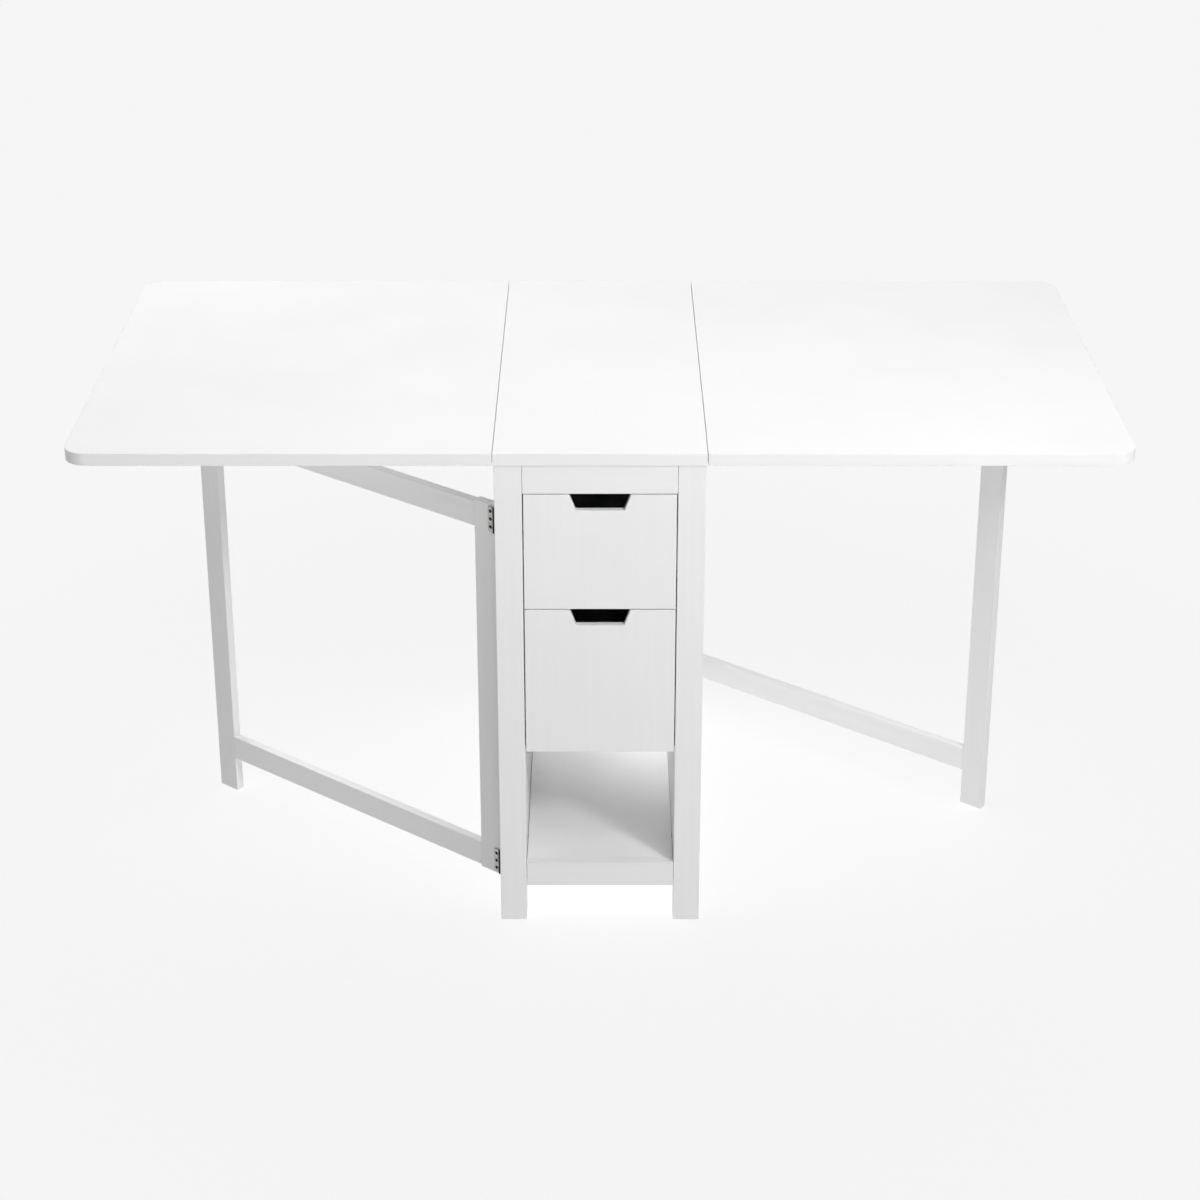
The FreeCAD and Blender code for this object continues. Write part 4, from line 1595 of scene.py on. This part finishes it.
    def build_hardware(self) -> None:
        """Makes the fixed hinge plates, brackets, outer channels and all their screws."""
        gate_hinge, leaf_hinge = self.gates[0].hinge, self.leaves[0].hinge
        gate_seats = [seat for gate in self.gates for seat in gate.seats()]
        leaf_seats = [seat for leaf in self.leaves for seat in leaf.seats()]
        fit(gathered(gate_hinge.fixed, "leg_hinge_plates", gate_seats), NICKEL, self.body,
            "gate_hinge_leg_plates")
        fit(gathered(leaf_hinge.fixed, "centre_hinge_plates", leaf_seats), NICKEL, self.body,
            "leaf_hinge_centre_plates")
        places = [seat @ local for seat in gate_seats for local in gate_hinge.screw_places(1)]
        places += [seat @ local for seat in leaf_seats for local in leaf_hinge.screw_places(1)]
        screw = self.runner.screw
        fit(screw.row("fixed_hinge_screws", places), ZINC_SCREW, self.body, "cabinet_hinge_screws")
        fit(self.make_brackets(), ZINC_SHEET, self.body, "top_brackets")
        master_screws = self.bracket_screws()
        places = [spot @ local for spot in self.bracket_places() for local in master_screws]
        web = self.runner.outer_web - self.runner.gauge
        for drawer in self.drawers:
            channels = self.runner.make_pair(f"{drawer.name}_outer_channels", True, drawer.level)
            fit(channels, ZINC_SHEET, self.body, f"{drawer.name}_runner_channels")
            for side in (-1, 1):
                places += self.runner.screw_places(web, side, 1, drawer.level)
        fit(screw.row("fixed_board_screws", places), ZINC_SCREW, self.body,
            "cabinet_fixing_screws")

    def dress_dowels(self) -> None:
        """Gives the hidden dowels, which keep the frame's own shape, their finish."""
        dowels = frame["nodes"]["frame_dowels"]
        dowels.data.materials.clear()
        dowels.data.materials.append(BEECH.material())

    def build(self) -> None:
        """Makes, dresses and ties everything that stands still."""
        self.build_top()
        self.build_legs()
        self.build_boards()
        self.build_hardware()
        self.dress_dowels()


# ---- Camera and studio ----
@dataclass
class Viewpoint:
    """The camera: a long lens at standing eye height, square to the drawer end."""

    place: tuple[float, float, float] = (0.0, -3.91431, 2.09727)
    dip: float = math.radians(24.8636)
    lens: float = 81.11
    sensor: float = 36.0
    shift_y: float = 0.03147

    def build(self) -> None:
        """Makes the camera and sets it as the scene's."""
        data = bpy.data.cameras.new("camera")
        data.lens, data.sensor_width, data.shift_y = self.lens, self.sensor, self.shift_y
        camera = bpy.data.objects.new("camera", data)
        camera.location = self.place
        camera.rotation_euler = (math.pi / 2 - self.dip, 0.0, 0.0)
        bpy.context.scene.collection.objects.link(camera)
        bpy.context.scene.camera = camera
        log.info("camera: %.1f mm lens", self.lens)


class Reach(Enum):
    """What a soft box lights."""

    TABLE = "lit_by_soft_boxes"
    COMPARTMENT = "lit_through_the_open_back"
    LOWER_RAILS = "lit_under_the_top"


def light_group(
    name: str, members: Iterable[Object], state: str = "INCLUDE"
) -> bpy.types.Collection:
    """A collection that says what a light falls on.

    Args:
        name: The collection's name.
        members: The pieces that it lists.
        state: INCLUDE for these pieces alone, or EXCLUDE for all but these.

    Returns:
        The collection.
    """
    group = bpy.data.collections.new(name)
    for member in members:
        group.objects.link(member)
    for entry in group.collection_objects:
        entry.light_linking.link_state = state
    return group


@dataclass(frozen=True)
class SoftBox:
    """A large soft light, aimed at the table.

    Its azimuth is 0 in front and 90 degrees to the right. Its power is in watts.
    """

    name: str
    azimuth: float
    elevation: float
    power: float
    width: float
    mirrored: bool = False
    reach: Reach = Reach.TABLE
    distance: float = 3.4
    aim: tuple[float, float, float] = (0.0, 0.0, 0.5)

    def build(self, lit: bpy.types.Collection) -> None:
        """Makes the light.

        Args:
            lit: The collection that says what the light falls on.
        """
        around, up = math.radians(self.azimuth), math.radians(self.elevation)
        level = math.cos(up)
        way = Vector((math.sin(around) * level, -math.cos(around) * level, math.sin(up)))
        data = bpy.data.lights.new(self.name, "AREA")
        data.shape, data.size, data.energy = "DISK", self.width, self.power
        light = bpy.data.objects.new(self.name, data)
        light.location = Vector(self.aim) + way * self.distance
        light.rotation_mode = "QUATERNION"
        light.rotation_quaternion = (-way).to_track_quat("-Z", "Y")
        light.visible_camera = False
        light.visible_glossy = self.mirrored
        light.light_linking.receiver_collection = lit
        if self.reach is Reach.LOWER_RAILS:
            light.light_linking.blocker_collection = lit
        bpy.context.scene.collection.objects.link(light)


@dataclass
class Studio:
    """A pale floor that glows like backlit acrylic, a pale backdrop, and soft boxes.

    The floor's glow takes the place of the light that it would throw back, so that the table
    stands on an even white with no hard shadows. From below the floor is clear, so that the
    underside can be looked at.
    """

    floor_size: float = 60.0
    near_glow: float = 0.85
    far_glow: float = 0.92
    glow_start: float = 0.2
    glow_end: float = 1.8
    backdrop_radius: float = 28.0
    # Each row gives a name, an azimuth, an elevation, a power and a width.
    boxes: tuple[SoftBox, ...] = (
        SoftBox("right_front_box", 35.0, 30.0, 36.3, 0.6),
        SoftBox("high_front_box", 20.0, 50.0, 40.0, 2.0, mirrored=True),
        SoftBox("overhead_box", 0.0, 90.0, 41.9, 3.0),
        SoftBox("back_left_box", 230.0, 40.0, 60.0, 2.0),
        SoftBox("back_right_box", 150.0, 35.0, 24.8, 2.0),
        SoftBox("low_shelf_box", 180.0, 12.0, 112.0, 0.6, reach=Reach.COMPARTMENT),
        SoftBox("low_left_shelf_box", 195.0, 12.0, 108.0, 0.6, reach=Reach.COMPARTMENT),
        SoftBox("lowest_shelf_box", 188.0, 8.0, 43.0, 0.6, reach=Reach.COMPARTMENT),
        SoftBox("overhead_rail_box", 0.0, 90.0, 50.0, 2.0, reach=Reach.LOWER_RAILS),
    )

    def build_floor(self) -> Object:
        """Makes the floor, which isn't part of the table, brighter away from the table.

        Returns:
            The floor.
        """
        floor = started(
            "studio_floor", bpy.ops.mesh.primitive_plane_add, size=self.floor_size
        )
        acrylic = ACRYLIC.material()
        tree = acrylic.node_tree
        place = add_node(tree, "ShaderNodeTexCoord").outputs["Object"]
        reach = add_node(tree, "ShaderNodeVectorMath", {0: place}, operation="LENGTH")
        glow = add_node(
            tree, "ShaderNodeMapRange",
            {"Value": reach.outputs["Value"], "From Min": self.glow_start,
             "From Max": self.glow_end, "To Min": self.near_glow, "To Max": self.far_glow},
            interpolation_type="SMOOTHSTEP",
        ).outputs["Result"]
        shader = tree.nodes["Principled BSDF"]
        shader.inputs["Emission Color"].default_value = PURE_WHITE
        tree.links.new(glow, shader.inputs["Emission Strength"])
        below = add_node(tree, "ShaderNodeNewGeometry").outputs["Backfacing"]
        clear = add_node(tree, "ShaderNodeBsdfTransparent").outputs["BSDF"]
        one_way = add_node(
            tree, "ShaderNodeMixShader", {0: below, 1: shader.outputs["BSDF"], 2: clear}
        ).outputs["Shader"]
        tree.links.new(one_way, tree.nodes["Material Output"].inputs["Surface"])
        floor.data.materials.append(acrylic)
        return floor

    def build_backdrop(self) -> None:
        """Makes the backdrop: a pale shell that is seen but lights nothing, in a dark room."""
        world = bpy.data.worlds.new("dark_room")
        world.use_nodes = True
        world.node_tree.nodes["Background"].inputs["Strength"].default_value = 0.0
        bpy.context.scene.world = world
        shell = started(
            "studio_backdrop", bpy.ops.mesh.primitive_uv_sphere_add, segments=48, ring_count=24,
            radius=self.backdrop_radius,
        )
        shell.visible_diffuse = shell.visible_glossy = shell.visible_transmission = False
        shell.visible_shadow = False
        # Seamless paper, far off and evenly lit: one flat pale tone with no shading.
        paper = bpy.data.materials.new("even_backdrop_paper")
        paper.use_nodes = True
        shader = paper.node_tree.nodes["Principled BSDF"]
        shader.inputs["Base Color"].default_value = linear("000000")
        shader.inputs["Specular IOR Level"].default_value = 0.0
        shader.inputs["Emission Color"].default_value = PURE_WHITE
        shader.inputs["Emission Strength"].default_value = self.far_glow
        shell.data.materials.append(paper)

    def build(self) -> None:
        """Makes the floor, the backdrop and the lights, and sets the plain view transform.

        Three boxes light the boards round the compartment alone, through its open back. One lights
        the gates' lower rails alone, past the top, so that their upper faces are as pale as they
        are in a bright room.
        """
        floor = self.build_floor()
        self.build_backdrop()
        pieces = bpy.data.objects
        boards = [pieces["shelf_board"], pieces["right_side_board"]]
        rails = [pieces[f"{side.word}_gate_lower_rail"] for side in Side]
        groups = {
            Reach.TABLE: light_group(Reach.TABLE.value, [floor], "EXCLUDE"),
            Reach.COMPARTMENT: light_group(Reach.COMPARTMENT.value, boards),
            Reach.LOWER_RAILS: light_group(Reach.LOWER_RAILS.value, rails),
        }
        for box in self.boxes:
            box.build(groups[box.reach])
        bpy.context.scene.view_settings.view_transform = "Standard"
        log.info("studio: %d soft boxes", len(self.boxes))


def main() -> None:
    """Builds the camera, the table and the studio."""
    Viewpoint().build()
    size = TableSize()
    screw = Screw()
    # The gate hinges' black knuckles are painted shade for the dark gap between gate post and leg.
    gate_hinge = ButtHinge("gate_hinge", screw, length=39.0 * MM, width=12.5 * MM, gauge=1.2 * MM,
                           barrel=2.2 * MM, inset=7.6 * MM, pitch=12.2 * MM,
                           knuckle_finish=BLACK_ZINC_AND_GAP_SHADE)
    leaf_hinge = ButtHinge("leaf_hinge", screw, length=50.0 * MM, width=22.0 * MM, gauge=1.5 * MM,
                           barrel=3.0 * MM, inset=12.5 * MM, pitch=17.0 * MM)
    runner = Runner(screw)
    gates = [Gate(size, side, gate_hinge) for side in Side]
    leaves = [Leaf(size, side, leaf_hinge, gates[0]) for side in Side]
    drawers = [
        Drawer(size, "upper", size.upper_front, runner),
        Drawer(size, "lower", size.lower_front, runner),
    ]
    cabinet = Cabinet(size, gates, leaves, drawers, runner)
    for assembly in (cabinet, *leaves, *gates, *drawers):
        assembly.build()
    retire([screw.master, screw.sink])
    for hinge in (gate_hinge, leaf_hinge):
        retire([hinge.fixed, hinge.moving, hinge.pin])
    Studio().build()
    select_only()


if __name__ == "__main__":
    main()
